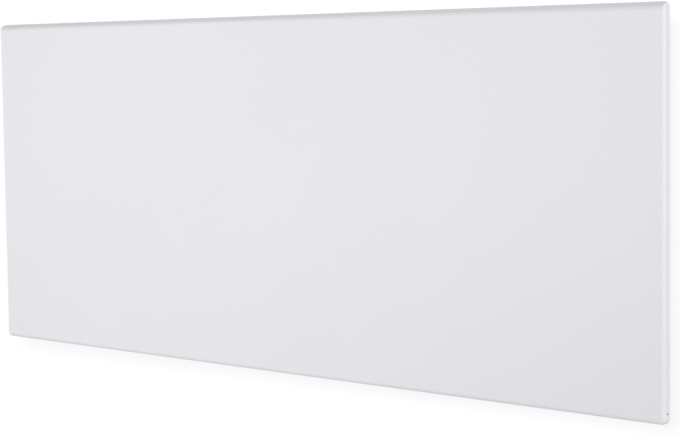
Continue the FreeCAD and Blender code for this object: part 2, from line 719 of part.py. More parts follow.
def make_wall_buffers():
    """Rubber feet that keep the casing's lower edge off the wall."""
    pieces = []
    for place in buffer_places():
        wall = point(place.x, 0, place.z)
        foot = round_bar(BUFFER_RADIUS, place, wall)
        foot = foot.makeFillet(BUFFER_ROUND, [edge for edge in edges_at_y(foot, 0) if edge.Closed])
        stem = round_bar(BUFFER_STEM_RADIUS, place, place - Y * (COVER_SHEET + BUFFER_STEM))
        pieces.append(foot.fuse(stem).removeSplitter())
    return Part.makeCompound(pieces)


# Heating element

def make_heat_shield():
    middle = (SHIELD_Z0 + SHIELD_Z1) / 2
    return hat_section(FIN_X0, FIN_X1, middle, (SHIELD_Z1 - SHIELD_Z0) / 2, SHIELD_FOOT,
                       COVER_IN_Y, -SHIELD_STANDOFF, SHIELD_SHEET)


def make_element_fins():
    """X-section aluminium extrusion with slit fins round a tubular hub."""
    start = point(FIN_X0, ELEMENT_Y, ELEMENT_Z)
    end = point(FIN_X1, ELEMENT_Y, ELEMENT_Z)
    diagonal = math.hypot(FIN_HALF_HEIGHT, FIN_HALF_DEPTH)
    lean = math.degrees(math.atan2(FIN_HALF_DEPTH, FIN_HALF_HEIGHT))
    body = round_bar(HUB_RADIUS, start, end)
    half = FIN_SHEET / 2
    for angle in (-lean, lean):
        plate = block(FIN_X0, FIN_X1, ELEMENT_Y - half, ELEMENT_Y + half,
                      ELEMENT_Z - diagonal, ELEMENT_Z + diagonal)
        plate.rotate(start, X, angle)
        body = body.fuse(plate)
    cuts = [round_bar(ROD_RADIUS + ROD_FIT, start, end)]
    reach = FIN_HALF_DEPTH + 2 * FIN_SHEET
    count = int((FIN_X1 - FIN_X0) / FIN_SLIT_PITCH) - 1
    first = (FIN_X0 + FIN_X1 - (count - 1) * FIN_SLIT_PITCH) / 2
    for number in range(count):
        x = first + number * FIN_SLIT_PITCH
        for side in (-1, 1):
            cuts.append(block(x - FIN_SLIT / 2, x + FIN_SLIT / 2, ELEMENT_Y - reach, ELEMENT_Y + reach,
                              ELEMENT_Z + side * FIN_SLIT_ROOT, ELEMENT_Z + side * 2 * diagonal))
    return body.removeSplitter().cut(cuts)


def make_element_rod():
    return round_bar(ROD_RADIUS, point(ROD_X0, ELEMENT_Y, ELEMENT_Z), point(ROD_X1, ELEMENT_Y, ELEMENT_Z))


def make_element_bushes():
    """Ceramic bushes that carry the rod in its brackets."""
    pieces = []
    for side in (-1, 1):
        face = point(bracket_plate_x(side), ELEMENT_Y, ELEMENT_Z)
        inner = face - X * (side * BUSH_FLANGE)
        outer = face + X * (side * (BRACKET_SHEET + BUSH_TAIL))
        body = round_bar(BUSH_FLANGE_RADIUS, inner, face).fuse(round_bar(BUSH_RADIUS, inner, outer))
        bore = round_bar(ROD_RADIUS + ROD_FIT, inner - X * side, outer + X * side)
        pieces.append(body.removeSplitter().cut(bore))
    return Part.makeCompound(pieces)


def tagged_stud(base, way, length, barrel_way):
    """Threaded stud with a ring tag under a nut. The tag's barrel takes the end of a lead."""
    tag = base + way * TAG_STANDOFF
    nut = tag + way * TAG_SHEET
    middle = base + way * TAG_MIDDLE
    body = round_bar(STUD_RADIUS, base, base + way * length)
    ring = round_bar(TAG_RADIUS, tag, nut)
    barrel = round_bar(BARREL_RADIUS, middle, middle + barrel_way * BARREL_REACH)
    return body.fuse([ring, barrel, hexagon_bar(NUT_FLATS, nut, nut + way * NUT_HEIGHT)])


def make_element_terminals():
    left = tagged_stud(point(ROD_X0, ELEMENT_Y, ELEMENT_Z), -X, STUD_LENGTH, Y)
    right = tagged_stud(point(ROD_X1, ELEMENT_Y, ELEMENT_Z), X, STUD_LENGTH, Z)
    return Part.makeCompound([left, right])


def make_element_bracket(side):
    """Angle bracket: an upright plate for the bush and a foot on the rear cover."""
    face = bracket_plate_x(side)
    low = ELEMENT_Z - BRACKET_HALF_HEIGHT
    high = ELEMENT_Z + BRACKET_HALF_HEIGHT
    plate = block(face, face + side * BRACKET_SHEET, ELEMENT_Y - BRACKET_REACH, COVER_IN_Y, low, high)
    foot = block(face, face + side * BRACKET_FOOT, COVER_IN_Y - BRACKET_SHEET, COVER_IN_Y, low, high)
    reach = X * (2 * BRACKET_SHEET)
    bush = point(face, ELEMENT_Y, ELEMENT_Z)
    wire = point(face, RETURN_Y - BRACKET_SHEET / 2, ELEMENT_Z)
    cuts = [
        round_bar(BUSH_RADIUS + BUSH_FIT, bush - reach, bush + reach),
        round_bar(BRACKET_HOLE_RADIUS, wire - reach, wire + reach),
    ]
    cuts += [screw_hole(seat, -Y, COVER_SHEET + BRACKET_SHEET) for seat in chassis_screw_seats()]
    return plate.fuse(foot).removeSplitter().cut(cuts)


def make_thermal_cutout():
    """Bimetal cut-out with push-on sleeves on both sides."""
    base = point(CUTOUT_X, ELEMENT_Y, CUTOUT_WEB_Z)
    body = round_bar(CUTOUT_RADIUS, base, base + Z * CUTOUT_HEIGHT)
    half_y = CUTOUT_SLEEVE_WIDTH / 2
    half_z = CUTOUT_SLEEVE_HEIGHT / 2
    sleeves = []
    for side in (-1, 1):
        outer = CUTOUT_X + side * CUTOUT_SLEEVE_REACH
        sleeves.append(block(outer, outer - side * CUTOUT_SLEEVE_LENGTH, ELEMENT_Y - half_y,
                             ELEMENT_Y + half_y, CUTOUT_Z - half_z, CUTOUT_Z + half_z))
    return body.fuse(sleeves).removeSplitter()


def make_cutout_bracket():
    half = CUTOUT_WEB_WIDTH / 2
    web_bottom = CUTOUT_WEB_Z - BRACKET_SHEET
    front = ELEMENT_Y - CUTOUT_RADIUS - CUTOUT_WEB_MARGIN
    web = block(CUTOUT_X - half, CUTOUT_X + half, front, COVER_IN_Y, web_bottom, CUTOUT_WEB_Z)
    foot = block(CUTOUT_X - half, CUTOUT_X + half, COVER_IN_Y - BRACKET_SHEET, COVER_IN_Y,
                 web_bottom - BRACKET_FOOT, CUTOUT_WEB_Z)
    holes = [screw_hole(seat, -Y, COVER_SHEET + BRACKET_SHEET) for seat in chassis_screw_seats()]
    return web.fuse(foot).removeSplitter().cut(holes)


# Controls

def make_control_fascia():
    half = FASCIA_DEPTH / 2
    low = FASCIA_Z - FASCIA_PLATE
    high = FASCIA_TOP_Z + FASCIA_PLATE
    plate = block(FASCIA_X0, FASCIA_X1, MID_Y - half, MID_Y + half, FASCIA_Z, FASCIA_TOP_Z)
    plate = plate.makeFillet(FASCIA_CORNER, edges_along(plate, Z))
    cuts = []
    for x in (MINUS_X, PLUS_X, MODE_X):
        cuts.append(centred(x, MID_Y, BUTTON_WIDTH + 2 * BUTTON_FIT, BUTTON_LENGTH + 2 * BUTTON_FIT,
                            low, high))
    seat = FASCIA_TOP_Z - WINDOW_SHEET
    cuts.append(centred(WINDOW_X, MID_Y, WINDOW_WIDTH + 2 * WINDOW_FIT, WINDOW_LENGTH + 2 * WINDOW_FIT,
                        seat, high))
    cuts.append(centred(WINDOW_X, MID_Y, WINDOW_WIDTH - 2 * WINDOW_LEDGE,
                        WINDOW_LENGTH - 2 * WINDOW_LEDGE, low, high))
    cuts.append(round_bar(LIGHT_RADIUS + LIGHT_FIT, point(LIGHT_X, MID_Y, low), point(LIGHT_X, MID_Y, high)))
    cuts.append(centred(ROCKER_X, MID_Y, ROCKER_FRAME_WIDTH + 2 * ROCKER_FRAME_FIT,
                        ROCKER_FRAME_LENGTH + 2 * ROCKER_FRAME_FIT, low, high))
    cuts += [screw_hole(seat_point, -Z, FASCIA_PLATE) for seat_point in fascia_screw_seats()]
    return plate.cut(cuts)


def make_fascia_screws():
    grip = FASCIA_PLATE + COVER_SHEET
    return Part.makeCompound([screw(seat, -Z, grip) for seat in fascia_screw_seats()])


def make_control_housing():
    """Open-topped box under the fascia, with a ledge that carries the board."""
    width = HOUSING_X1 - HOUSING_X0
    middle = (HOUSING_X0 + HOUSING_X1) / 2
    floor = HOUSING_BOTTOM_Z + HOUSING_WALL
    inside = 2 * HOUSING_WALL
    ledge = 2 * (HOUSING_WALL + HOUSING_LEDGE)
    body = centred(middle, MID_Y, width, HOUSING_DEPTH, HOUSING_BOTTOM_Z, FASCIA_Z)
    cuts = [
        centred(middle, MID_Y, width - inside, HOUSING_DEPTH - inside, BOARD_Z - BOARD_SHEET,
                FASCIA_Z + HOUSING_WALL),
        centred(middle, MID_Y, width - ledge, HOUSING_DEPTH - ledge, floor, FASCIA_Z),
    ]
    for x in POLES:
        hole = point(x, MID_Y, HOUSING_BOTTOM_Z)
        cuts.append(round_bar(PIN_RADIUS + PIN_FIT, hole - Z * HOUSING_WALL, hole + Z * (2 * HOUSING_WALL)))
    return body.cut(cuts)


def make_control_board():
    inside = 2 * (HOUSING_WALL + BOARD_FIT)
    return centred((HOUSING_X0 + HOUSING_X1) / 2, MID_Y, HOUSING_X1 - HOUSING_X0 - inside,
                   HOUSING_DEPTH - inside, BOARD_Z - BOARD_SHEET, BOARD_Z)


def make_board_connector():
    """Plug block under the housing, with a pin from each pole up to the board."""
    middle = (POLES[0] + POLES[-1]) / 2
    width = POLES[-1] - POLES[0] + 2 * CONNECTOR_END
    body = centred(middle, MID_Y, width, CONNECTOR_DEPTH, CONNECTOR_BOTTOM_Z, HOUSING_BOTTOM_Z)
    pins = []
    for x in POLES:
        pins.append(round_bar(PIN_RADIUS, point(x, MID_Y, CONNECTOR_BOTTOM_Z + PIN_RADIUS),
                              point(x, MID_Y, BOARD_Z - BOARD_SHEET)))
    return body.fuse(pins).removeSplitter()


def make_tact_switches():
    pieces = []
    for x in (MINUS_X, PLUS_X, MODE_X):
        top = BOARD_Z + TACT_BODY
        body = centred(x, MID_Y, TACT_SIZE, TACT_SIZE, BOARD_Z, top)
        plunger = round_bar(TACT_PLUNGER_RADIUS, point(x, MID_Y, BOARD_Z),
                            point(x, MID_Y, top + TACT_PLUNGER))
        pieces.append(body.fuse(plunger).removeSplitter())
    return Part.makeCompound(pieces)


def make_relay():
    top = BOARD_Z - BOARD_SHEET
    return centred(WINDOW_X + POLE_PITCH, MID_Y, RELAY_WIDTH, RELAY_DEPTH, top - RELAY_HEIGHT, top)


def make_display_module():
    less = 2 * (WINDOW_LEDGE + DISPLAY_MARGIN)
    top = FASCIA_TOP_Z - WINDOW_SHEET - DISPLAY_GAP
    return centred(WINDOW_X, MID_Y, WINDOW_WIDTH - less, WINDOW_LENGTH - less, BOARD_Z, top)


def make_display_window():
    return centred(WINDOW_X, MID_Y, WINDOW_WIDTH, WINDOW_LENGTH, FASCIA_TOP_Z - WINDOW_SHEET, FASCIA_TOP_Z)


def make_indicator_light():
    foot = point(LIGHT_X, MID_Y, BOARD_Z)
    pipe = round_bar(LIGHT_RADIUS, foot, point(LIGHT_X, MID_Y, FASCIA_TOP_Z + LIGHT_PROUD))
    return pipe.fuse(round_bar(LIGHT_BASE_RADIUS, foot, foot + Z * LIGHT_BASE)).removeSplitter()


def make_rocker_frame():
    """Switch body that hangs in the fascia and stands on the board."""
    lip = 2 * ROCKER_FLANGE + 2 * ROCKER_FRAME_FIT
    wall = 2 * ROCKER_FRAME_WALL
    top = FASCIA_TOP_Z + ROCKER_FLANGE_SHEET
    flange = centred(ROCKER_X, MID_Y, ROCKER_FRAME_WIDTH + lip, ROCKER_FRAME_LENGTH + lip, FASCIA_TOP_Z, top)
    body = centred(ROCKER_X, MID_Y, ROCKER_FRAME_WIDTH, ROCKER_FRAME_LENGTH, BOARD_Z, top)
    pit = centred(ROCKER_X, MID_Y, ROCKER_FRAME_WIDTH - wall, ROCKER_FRAME_LENGTH - wall,
                  BOARD_Z + ROCKER_FRAME_WALL, top + ROCKER_FRAME_WALL)
    half = ROCKER_FRAME_LENGTH / 2 + ROCKER_FRAME_WALL
    bearing = round_bar(PIVOT_RADIUS + PIVOT_FIT, point(ROCKER_X, MID_Y - half, ROCKER_Z),
                        point(ROCKER_X, MID_Y + half, ROCKER_Z))
    return flange.fuse(body).removeSplitter().cut([pit, bearing])


def make_rocker():
    """Rocker with a dished top, tilted to its off position about its two pivots."""
    half = ROCKER_WIDTH / 2
    front = MID_Y - ROCKER_LENGTH / 2
    outline = [
        (-half, -ROCKER_BELOW),
        (half, -ROCKER_BELOW),
        (half, ROCKER_ABOVE),
        (0, ROCKER_WAIST),
        (-half, ROCKER_ABOVE),
    ]
    ring = [point(ROCKER_X + across, front, ROCKER_Z + up) for across, up in outline]
    body = Part.Face(Part.makePolygon(ring + ring[:1])).extrude(Y * ROCKER_LENGTH)
    reach = ROCKER_LENGTH / 2 + ROCKER_SIDE_GAP + PIVOT_REACH
    pivots = round_bar(PIVOT_RADIUS, point(ROCKER_X, MID_Y - reach, ROCKER_Z),
                       point(ROCKER_X, MID_Y + reach, ROCKER_Z))
    body = body.fuse(pivots).removeSplitter()
    body.rotate(point(ROCKER_X, MID_Y, ROCKER_Z), Y, -ROCKER_TILT)
    return body


def make_button(x, signs):
    """Push button: a cap through the fascia, a flange that holds it in and a stem over its switch."""
    top = FASCIA_TOP_Z + BUTTON_PROUD
    flange_top = FASCIA_Z - BUTTON_REST
    foot = BOARD_Z + TACT_BODY + TACT_PLUNGER + BUTTON_TRAVEL + TACT_GAP
    cap = centred(x, MID_Y, BUTTON_WIDTH, BUTTON_LENGTH, flange_top - BUTTON_FLANGE_SHEET, top)
    cap = cap.makeFillet(BUTTON_ROUND, edges_at_z(cap, top))
    flange = centred(x, MID_Y, BUTTON_WIDTH + 2 * BUTTON_FLANGE, BUTTON_LENGTH + 2 * BUTTON_FLANGE,
                     flange_top - BUTTON_FLANGE_SHEET, flange_top)
    stem = centred(x, MID_Y, BUTTON_STEM, BUTTON_STEM, foot, flange_top)
    grooves = [centred(x, MID_Y, width, depth, top - SIGN_DEPTH, top + SIGN_DEPTH) for width, depth in signs]
    return cap.fuse([flange, stem]).removeSplitter().cut(grooves)


# Wiring

def make_terminal_block():
    """Three-pole block with a screw well in front of each pole."""
    body = block(BLOCK_POLES[0] - BLOCK_END, BLOCK_POLES[-1] + BLOCK_END, BLOCK_FRONT_Y, COVER_IN_Y,
                 BLOCK_Z0, BLOCK_Z1)
    cuts = []
    for x in BLOCK_POLES:
        mouth = point(x, BLOCK_FRONT_Y, BLOCK_Z0 + BLOCK_HEIGHT / 2)
        bottom = mouth + Y * (BLOCK_SCREW_SUNK + BLOCK_SCREW_LENGTH)
        cuts.append(round_bar(BLOCK_SCREW_RADIUS + BLOCK_SCREW_FIT, mouth - Y, bottom))
    cuts += [screw_hole(seat, -Y, COVER_SHEET + BRACKET_SHEET) for seat in chassis_screw_seats()]
    return body.cut(cuts)


def make_terminal_screws():
    pieces = []
    for x in BLOCK_POLES:
        head = point(x, BLOCK_FRONT_Y + BLOCK_SCREW_SUNK, BLOCK_Z0 + BLOCK_HEIGHT / 2)
        half = RECESS_WIDTH / 2
        slot = block(x - BLOCK_SCREW_RADIUS, x + BLOCK_SCREW_RADIUS, head.y, head.y + RECESS_DEPTH,
                     head.z - half, head.z + half)
        pieces.append(round_bar(BLOCK_SCREW_RADIUS, head, head + Y * BLOCK_SCREW_LENGTH).cut(slot))
    return Part.makeCompound(pieces)


def make_earth_stud():
    return tagged_stud(point(STUD_X, COVER_IN_Y, STUD_Z), -Y, STUD_LENGTH, -Z)


def make_cable_gland():
    """Gland in the bottom wall: a hexagon and a dome below it, and a thread above."""
    wall = point(GLAND_X, MID_Y, COVER_BOTTOM_Z)
    flange = wall - Z * GLAND_FLANGE
    mouth = flange - Z * GLAND_DOME
    inside = wall + Z * GLAND_INSIDE
    body = hexagon_bar(GLAND_FLATS, flange, wall)
    dome = round_bar(GLAND_DOME_RADIUS, mouth, flange)
    body = body.fuse([dome, round_bar(GLAND_THREAD_RADIUS, wall, inside)])
    return body.removeSplitter().cut(round_bar(GLAND_BORE_RADIUS, mouth - Z, inside + Z))


def make_gland_nut():
    seat = point(GLAND_X, MID_Y, COVER_BOTTOM_Z + COVER_SHEET)
    top = seat + Z * GLAND_NUT_HEIGHT
    bore = round_bar(GLAND_THREAD_RADIUS + GLAND_FIT, seat - Z, top + Z)
    return hexagon_bar(GLAND_FLATS, seat, top).cut(bore)


def make_room_sensor():
    tip = point(SENSOR_END_X - SENSOR_LENGTH, MID_Y, SENSOR_Z)
    return round_bar(SENSOR_RADIUS, tip, point(SENSOR_END_X, MID_Y, SENSOR_Z))


def make_sensor_clip():
    """Post on the rear cover with an eye for the sensor."""
    middle = SENSOR_END_X - SENSOR_LENGTH / 2
    half = SENSOR_CLIP_WIDTH / 2
    eye = SENSOR_RADIUS + SENSOR_CLIP_WALL
    body = block(middle - half, middle + half, MID_Y, COVER_IN_Y, SENSOR_Z - eye, SENSOR_Z + eye)
    axis = X * SENSOR_CLIP_WIDTH
    centre = point(middle, MID_Y, SENSOR_Z)
    ring = round_bar(eye, centre - axis / 2, centre + axis / 2)
    bore = round_bar(SENSOR_RADIUS + SENSOR_FIT, centre - axis, centre + axis)
    return body.fuse(ring).removeSplitter().cut(bore)


def make_lead_clips():
    """Clips on the rear cover that hold the return lead behind the heat shield."""
    pieces = []
    room = (FIN_X1 - FIN_X0) / (CLIP_COUNT + 1)
    reach = LEAD_RADIUS + CLIP_WALL
    for number in range(CLIP_COUNT):
        x = FIN_X0 + room * (number + 1)
        body = block(x - CLIP_WIDTH / 2, x + CLIP_WIDTH / 2, RETURN_Y - reach, COVER_IN_Y,
                     ELEMENT_Z - reach, ELEMENT_Z + reach)
        middle = point(x, RETURN_Y, ELEMENT_Z)
        bore = round_bar(LEAD_RADIUS + LEAD_FIT, middle - X * CLIP_WIDTH, middle + X * CLIP_WIDTH)
        pieces.append(body.cut(bore))
    return Part.makeCompound(pieces)


def make_lead_comb():
    """Comb on the rear cover that holds the four leads under the connector."""
    reach = LEAD_RADIUS + CLIP_WALL
    body = block(POLES[0] - reach, POLES[-1] + reach, MID_Y - reach, COVER_IN_Y, COMB_Z, COMB_Z + COMB_HEIGHT)
    cuts = []
    for x, radius in zip(POLES, (LEAD_RADIUS, SENSOR_LEAD_RADIUS, LEAD_RADIUS, LEAD_RADIUS)):
        middle = point(x, MID_Y, COMB_Z)
        cuts.append(round_bar(radius + LEAD_FIT, middle - Z * COMB_HEIGHT, middle + Z * (2 * COMB_HEIGHT)))
    return body.cut(cuts)


def make_supply_lead(x):
    """Straight lead from a pole of the terminal block up to the connector."""
    return round_bar(LEAD_RADIUS, point(x, MID_Y, BLOCK_Z1), point(x, MID_Y, CONNECTOR_BOTTOM_Z))


def make_lead_output():
    """Switched live, from the connector down to the thermal cut-out."""
    fall = (COMB_Z - CUTOUT_Z) / 3
    return lead([
        point(OUTPUT_X, MID_Y, CONNECTOR_BOTTOM_Z),
        point(OUTPUT_X, MID_Y, COMB_Z - fall),
        point(OUTPUT_X, ELEMENT_Y, COMB_Z - 2 * fall),
        point(OUTPUT_X, ELEMENT_Y, CUTOUT_Z),
        point(CUTOUT_X + CUTOUT_SLEEVE_REACH, ELEMENT_Y, CUTOUT_Z),
    ], LEAD_RADIUS)


def make_lead_limited():
    """From the thermal cut-out down to the element's right terminal."""
    return lead([
        point(CUTOUT_X - CUTOUT_SLEEVE_REACH, ELEMENT_Y, CUTOUT_Z),
        point(TAG_X1, ELEMENT_Y, CUTOUT_Z),
        point(TAG_X1, ELEMENT_Y, ELEMENT_Z + BARREL_REACH),
    ], LEAD_RADIUS)


def make_lead_return():
    """Neutral, from the terminal block behind the heat shield to the element's left terminal."""
    return lead([
        point(NEUTRAL_X, RETURN_Y, BLOCK_Z1),
        point(NEUTRAL_X, RETURN_Y, ELEMENT_Z),
        point(TAG_X0, RETURN_Y, ELEMENT_Z),
        point(TAG_X0, ELEMENT_Y + BARREL_REACH, ELEMENT_Z),
    ], LEAD_RADIUS)


def make_lead_earth():
    end = STUD_Z - BARREL_REACH
    rise = (end - BLOCK_Z1) / 3
    return lead([
        point(EARTH_X, MID_Y, BLOCK_Z1),
        point(EARTH_X, MID_Y, BLOCK_Z1 + rise),
        point(STUD_X, STUD_TAG_Y, end - rise),
        point(STUD_X, STUD_TAG_Y, end),
    ], LEAD_RADIUS)


def make_lead_sensor():
    return lead([
        point(SENSOR_X, MID_Y, CONNECTOR_BOTTOM_Z),
        point(SENSOR_X, MID_Y, SENSOR_Z),
        point(SENSOR_END_X, MID_Y, SENSOR_Z),
    ], SENSOR_LEAD_RADIUS)


# Wall bracket

def make_hook(x):
    """Upturned hook on an upright's flange, flush with the flange's sheet."""
    root = BRIDGE_BACK_Y
    back = COVER_IN_Y - HOOK_CLEARANCE
    front = back - HOOK_EAR_DEPTH
    low = HOOK_Z - HOOK_NECK
    high = HOOK_Z + HOOK_EAR
    outline = [
        (root, low),
        (front, low),
        (front, high - HOOK_CHAMFER),
        (front + HOOK_CHAMFER, high),
        (back - HOOK_CHAMFER, high),
        (back, high - HOOK_CHAMFER),
        (back, HOOK_Z),
        (root, HOOK_Z),
    ]
    start = x - UPRIGHT_SHEET / 2
    ring = [point(start, y, z) for y, z in outline]
    return Part.Face(Part.makePolygon(ring + ring[:1])).extrude(X * UPRIGHT_SHEET)


def make_upright(side):
    """Channel on the wall with two hooks, and a bridge that carries the lock's shaft."""
    x0 = side * UPRIGHT_X - UPRIGHT_WIDTH / 2
    x1 = side * UPRIGHT_X + UPRIGHT_WIDTH / 2
    sheet = UPRIGHT_SHEET
    channel = block(x0, x1, -UPRIGHT_DEPTH, 0, UPRIGHT_Z0, UPRIGHT_Z1)
    hollow = block(x0 + sheet, x1 - sheet, -2 * UPRIGHT_DEPTH, -sheet, 2 * UPRIGHT_Z0, 2 * UPRIGHT_Z1)
    bridge = block(x0, x1, -UPRIGHT_DEPTH, BRIDGE_BACK_Y, LOCK_Z - BRIDGE_HALF_HEIGHT,
                   LOCK_Z + BRIDGE_HALF_HEIGHT)
    additions = [bridge] + [make_hook(x) for x in hook_columns(side)]
    shaft = point(side * UPRIGHT_X, -UPRIGHT_DEPTH, LOCK_Z)
    cuts = [round_bar(SHAFT_RADIUS + SHAFT_FIT, shaft - Y * sheet, shaft + Y * (2 * sheet))]
    for z in (-WALL_HOLE_SPACING_Z / 2, WALL_HOLE_SPACING_Z / 2):
        wall = point(side * UPRIGHT_X, 0, z)
        cuts.append(round_bar(WALL_HOLE_RADIUS, wall - Y * (2 * sheet), wall + Y * sheet))
    cuts += [rivet(seat, RIVET_RADIUS + RIVET_FIT, 0) for seat in rivet_seats()]
    return channel.cut(hollow).fuse(additions).removeSplitter().cut(cuts)


def crossbar_end():
    """Inner face of an upright's inner flange, where the crossbar's end tab lies."""
    return UPRIGHT_X - UPRIGHT_WIDTH / 2


def rivet_seats():
    y = -(CROSSBAR_STANDOFF + (CROSSBAR_DEPTH - UPRIGHT_SHEET) / 2)
    half = RIVET_PITCH / 2
    ends = (-crossbar_end(), crossbar_end())
    return [point(x, y, CROSSBAR_Z + rise) for x in ends for rise in (-half, half)]


def rivet(seat, radius, head):
    """Rivet, or with no head its hole, through a flange and the crossbar's tab."""
    grip = X * UPRIGHT_SHEET
    body = round_bar(radius, seat - grip, seat + grip)
    if head:
        heads = [round_bar(RIVET_HEAD_RADIUS, end, end + way * head)
                 for end, way in ((seat - grip, -X), (seat + grip, X))]
        body = body.fuse(heads).removeSplitter()
    return body


def make_crossbar():
    """Shallow pan between the uprights, open towards the wall, with its end walls as rivet tabs."""
    end = crossbar_end()
    half = CROSSBAR_HEIGHT / 2
    back = -CROSSBAR_STANDOFF
    front = back - CROSSBAR_DEPTH
    sheet = UPRIGHT_SHEET
    body = block(-end, end, front, back, CROSSBAR_Z - half, CROSSBAR_Z + half)
    hollow = block(-end + sheet, end - sheet, front + sheet, back + sheet,
                   CROSSBAR_Z - half + sheet, CROSSBAR_Z + half - sheet)
    return body.cut([hollow] + [rivet(seat, RIVET_RADIUS + RIVET_FIT, 0) for seat in rivet_seats()])


def make_bracket_rivets():
    return Part.makeCompound([rivet(seat, RIVET_RADIUS, RIVET_HEAD) for seat in rivet_seats()])


# Quarter-turn locks

def make_lock_lever(side):
    """Lever and shaft in one: hangs down when locked."""
    x = side * UPRIGHT_X
    hub = round_bar(LEVER_HUB_RADIUS, point(x, LEVER_BACK_Y, LOCK_Z), point(x, LEVER_FRONT_Y, LOCK_Z))
    half = LEVER_WIDTH / 2
    tip_z = LOCK_Z - LEVER_LENGTH + half
    arm = block(x - half, x + half, LEVER_FRONT_Y, LEVER_BACK_Y, tip_z, LOCK_Z)
    tip = round_bar(half, point(x, LEVER_BACK_Y, tip_z), point(x, LEVER_FRONT_Y, tip_z))
    groove_y = BRIDGE_BACK_Y + LOCK_CLIP_FIT
    groove_end = groove_y + LOCK_CLIP_SHEET + LOCK_CLIP_FIT
    tail = groove_end + SHAFT_TAIL
    shaft = round_bar(SHAFT_RADIUS, point(x, tail, LOCK_Z), point(x, CAM_BACK_Y, LOCK_Z))
    half_square = CAM_SQUARE / 2
    square = block(x - half_square, x + half_square, CAM_FRONT_Y, LEVER_FRONT_Y,
                   LOCK_Z - half_square, LOCK_Z + half_square)
    body = hub.fuse([arm, tip, shaft, square]).removeSplitter()
    groove_ends = (point(x, groove_y, LOCK_Z), point(x, groove_end, LOCK_Z))
    groove = round_bar(SHAFT_RADIUS + LOCK_CLIP_GROOVE, *groove_ends)
    core = round_bar(SHAFT_RADIUS - LOCK_CLIP_GROOVE, *groove_ends)
    return body.cut(groove.cut(core))


def make_lock_cam(side):
    """Cross piece inside the casing that keeps the heater on its hooks when it lies level."""
    x = side * UPRIGHT_X
    half = CAM_LENGTH / 2
    wide = CAM_WIDTH / 2
    body = block(x - half, x + half, CAM_FRONT_Y, CAM_BACK_Y, LOCK_Z - wide, LOCK_Z + wide)
    body = body.makeFillet(CAM_ROUND, edges_along(body, Y))
    half_square = CAM_SQUARE / 2 + CAM_FIT
    hole = block(x - half_square, x + half_square, CAM_FRONT_Y - CAM_DEPTH, CAM_BACK_Y + CAM_DEPTH,
                 LOCK_Z - half_square, LOCK_Z + half_square)
    return body.cut(hole)


def make_lock_clip(side):
    """Open ring in the shaft's groove, behind the bridge."""
    x = side * UPRIGHT_X
    start = point(x, BRIDGE_BACK_Y + LOCK_CLIP_FIT, LOCK_Z)
    end = start + Y * LOCK_CLIP_SHEET
    ring = round_bar(LOCK_CLIP_RADIUS, start, end)
    bore = round_bar(SHAFT_RADIUS - LOCK_CLIP_GROOVE + LOCK_CLIP_FIT, start - Y, end + Y)
    half = LOCK_CLIP_MOUTH / 2
    mouth = block(x - half, x + half, start.y - LOCK_CLIP_SHEET, end.y + LOCK_CLIP_SHEET,
                  LOCK_Z, LOCK_Z + 2 * LOCK_CLIP_RADIUS)
    return ring.cut([bore, mouth])


def all_parts():
    dash = (SIGN_LENGTH, SIGN_WIDTH)
    upright_dash = (SIGN_WIDTH, SIGN_LENGTH)
    return {
        "front_panel": make_front_panel(),
        "panel_stiffener_upper": make_stiffener(0),
        "panel_stiffener_lower": make_stiffener(1),
        "rear_cover": make_rear_cover(),
        "outlet_grille": make_grille(1),
        "inlet_grille": make_grille(-1),
        "cover_screws": make_cover_screws(),
        "chassis_screws": make_chassis_screws(),
        "wall_buffers": make_wall_buffers(),
        "heat_shield": make_heat_shield(),
        "element_fins": make_element_fins(),
        "element_rod": make_element_rod(),
        "element_bushes": make_element_bushes(),
        "element_terminals": make_element_terminals(),
        "element_bracket_left": make_element_bracket(-1),
        "element_bracket_right": make_element_bracket(1),
        "thermal_cutout": make_thermal_cutout(),
        "cutout_bracket": make_cutout_bracket(),
        "control_fascia": make_control_fascia(),
        "fascia_screws": make_fascia_screws(),
        "control_housing": make_control_housing(),
        "control_board": make_control_board(),
        "board_connector": make_board_connector(),
        "tact_switches": make_tact_switches(),
        "relay": make_relay(),
        "display_module": make_display_module(),
        "display_window": make_display_window(),
        "indicator_light": make_indicator_light(),
        "rocker_frame": make_rocker_frame(),
        "rocker": make_rocker(),
        "button_minus": make_button(MINUS_X, [dash]),
        "button_plus": make_button(PLUS_X, [dash, upright_dash]),
        "button_mode": make_button(MODE_X, [(SIGN_WIDTH, SIGN_WIDTH)]),
        "terminal_block": make_terminal_block(),
        "terminal_screws": make_terminal_screws(),
        "earth_stud": make_earth_stud(),
        "cable_gland": make_cable_gland(),
        "gland_nut": make_gland_nut(),
        "room_sensor": make_room_sensor(),
        "sensor_clip": make_sensor_clip(),
        "lead_clips": make_lead_clips(),
        "lead_comb": make_lead_comb(),
        "lead_live": make_supply_lead(LIVE_X),
        "lead_neutral": make_supply_lead(NEUTRAL_X),
        "lead_output": make_lead_output(),
        "lead_limited": make_lead_limited(),
        "lead_return": make_lead_return(),
        "lead_earth": make_lead_earth(),
        "lead_sensor": make_lead_sensor(),
        "bracket_upright_left": make_upright(-1),
        "bracket_upright_right": make_upright(1),
        "bracket_crossbar": make_crossbar(),
        "bracket_rivets": make_bracket_rivets(),
        "lock_lever_left": make_lock_lever(-1),
        "lock_lever_right": make_lock_lever(1),
        "lock_cam_left": make_lock_cam(-1),
        "lock_cam_right": make_lock_cam(1),
        "lock_clip_left": make_lock_clip(-1),
        "lock_clip_right": make_lock_clip(1),
    }


os.makedirs("parts", exist_ok=True)
for name, shape in all_parts().items():
    shape.exportStep(os.path.join("parts", name + ".step"))
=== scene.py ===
import json
import math

import bmesh
import bpy
from bpy.props import FloatProperty, FloatVectorProperty, IntProperty, PointerProperty
from mathutils import Matrix, Vector
from mathutils.bvhtree import BVHTree


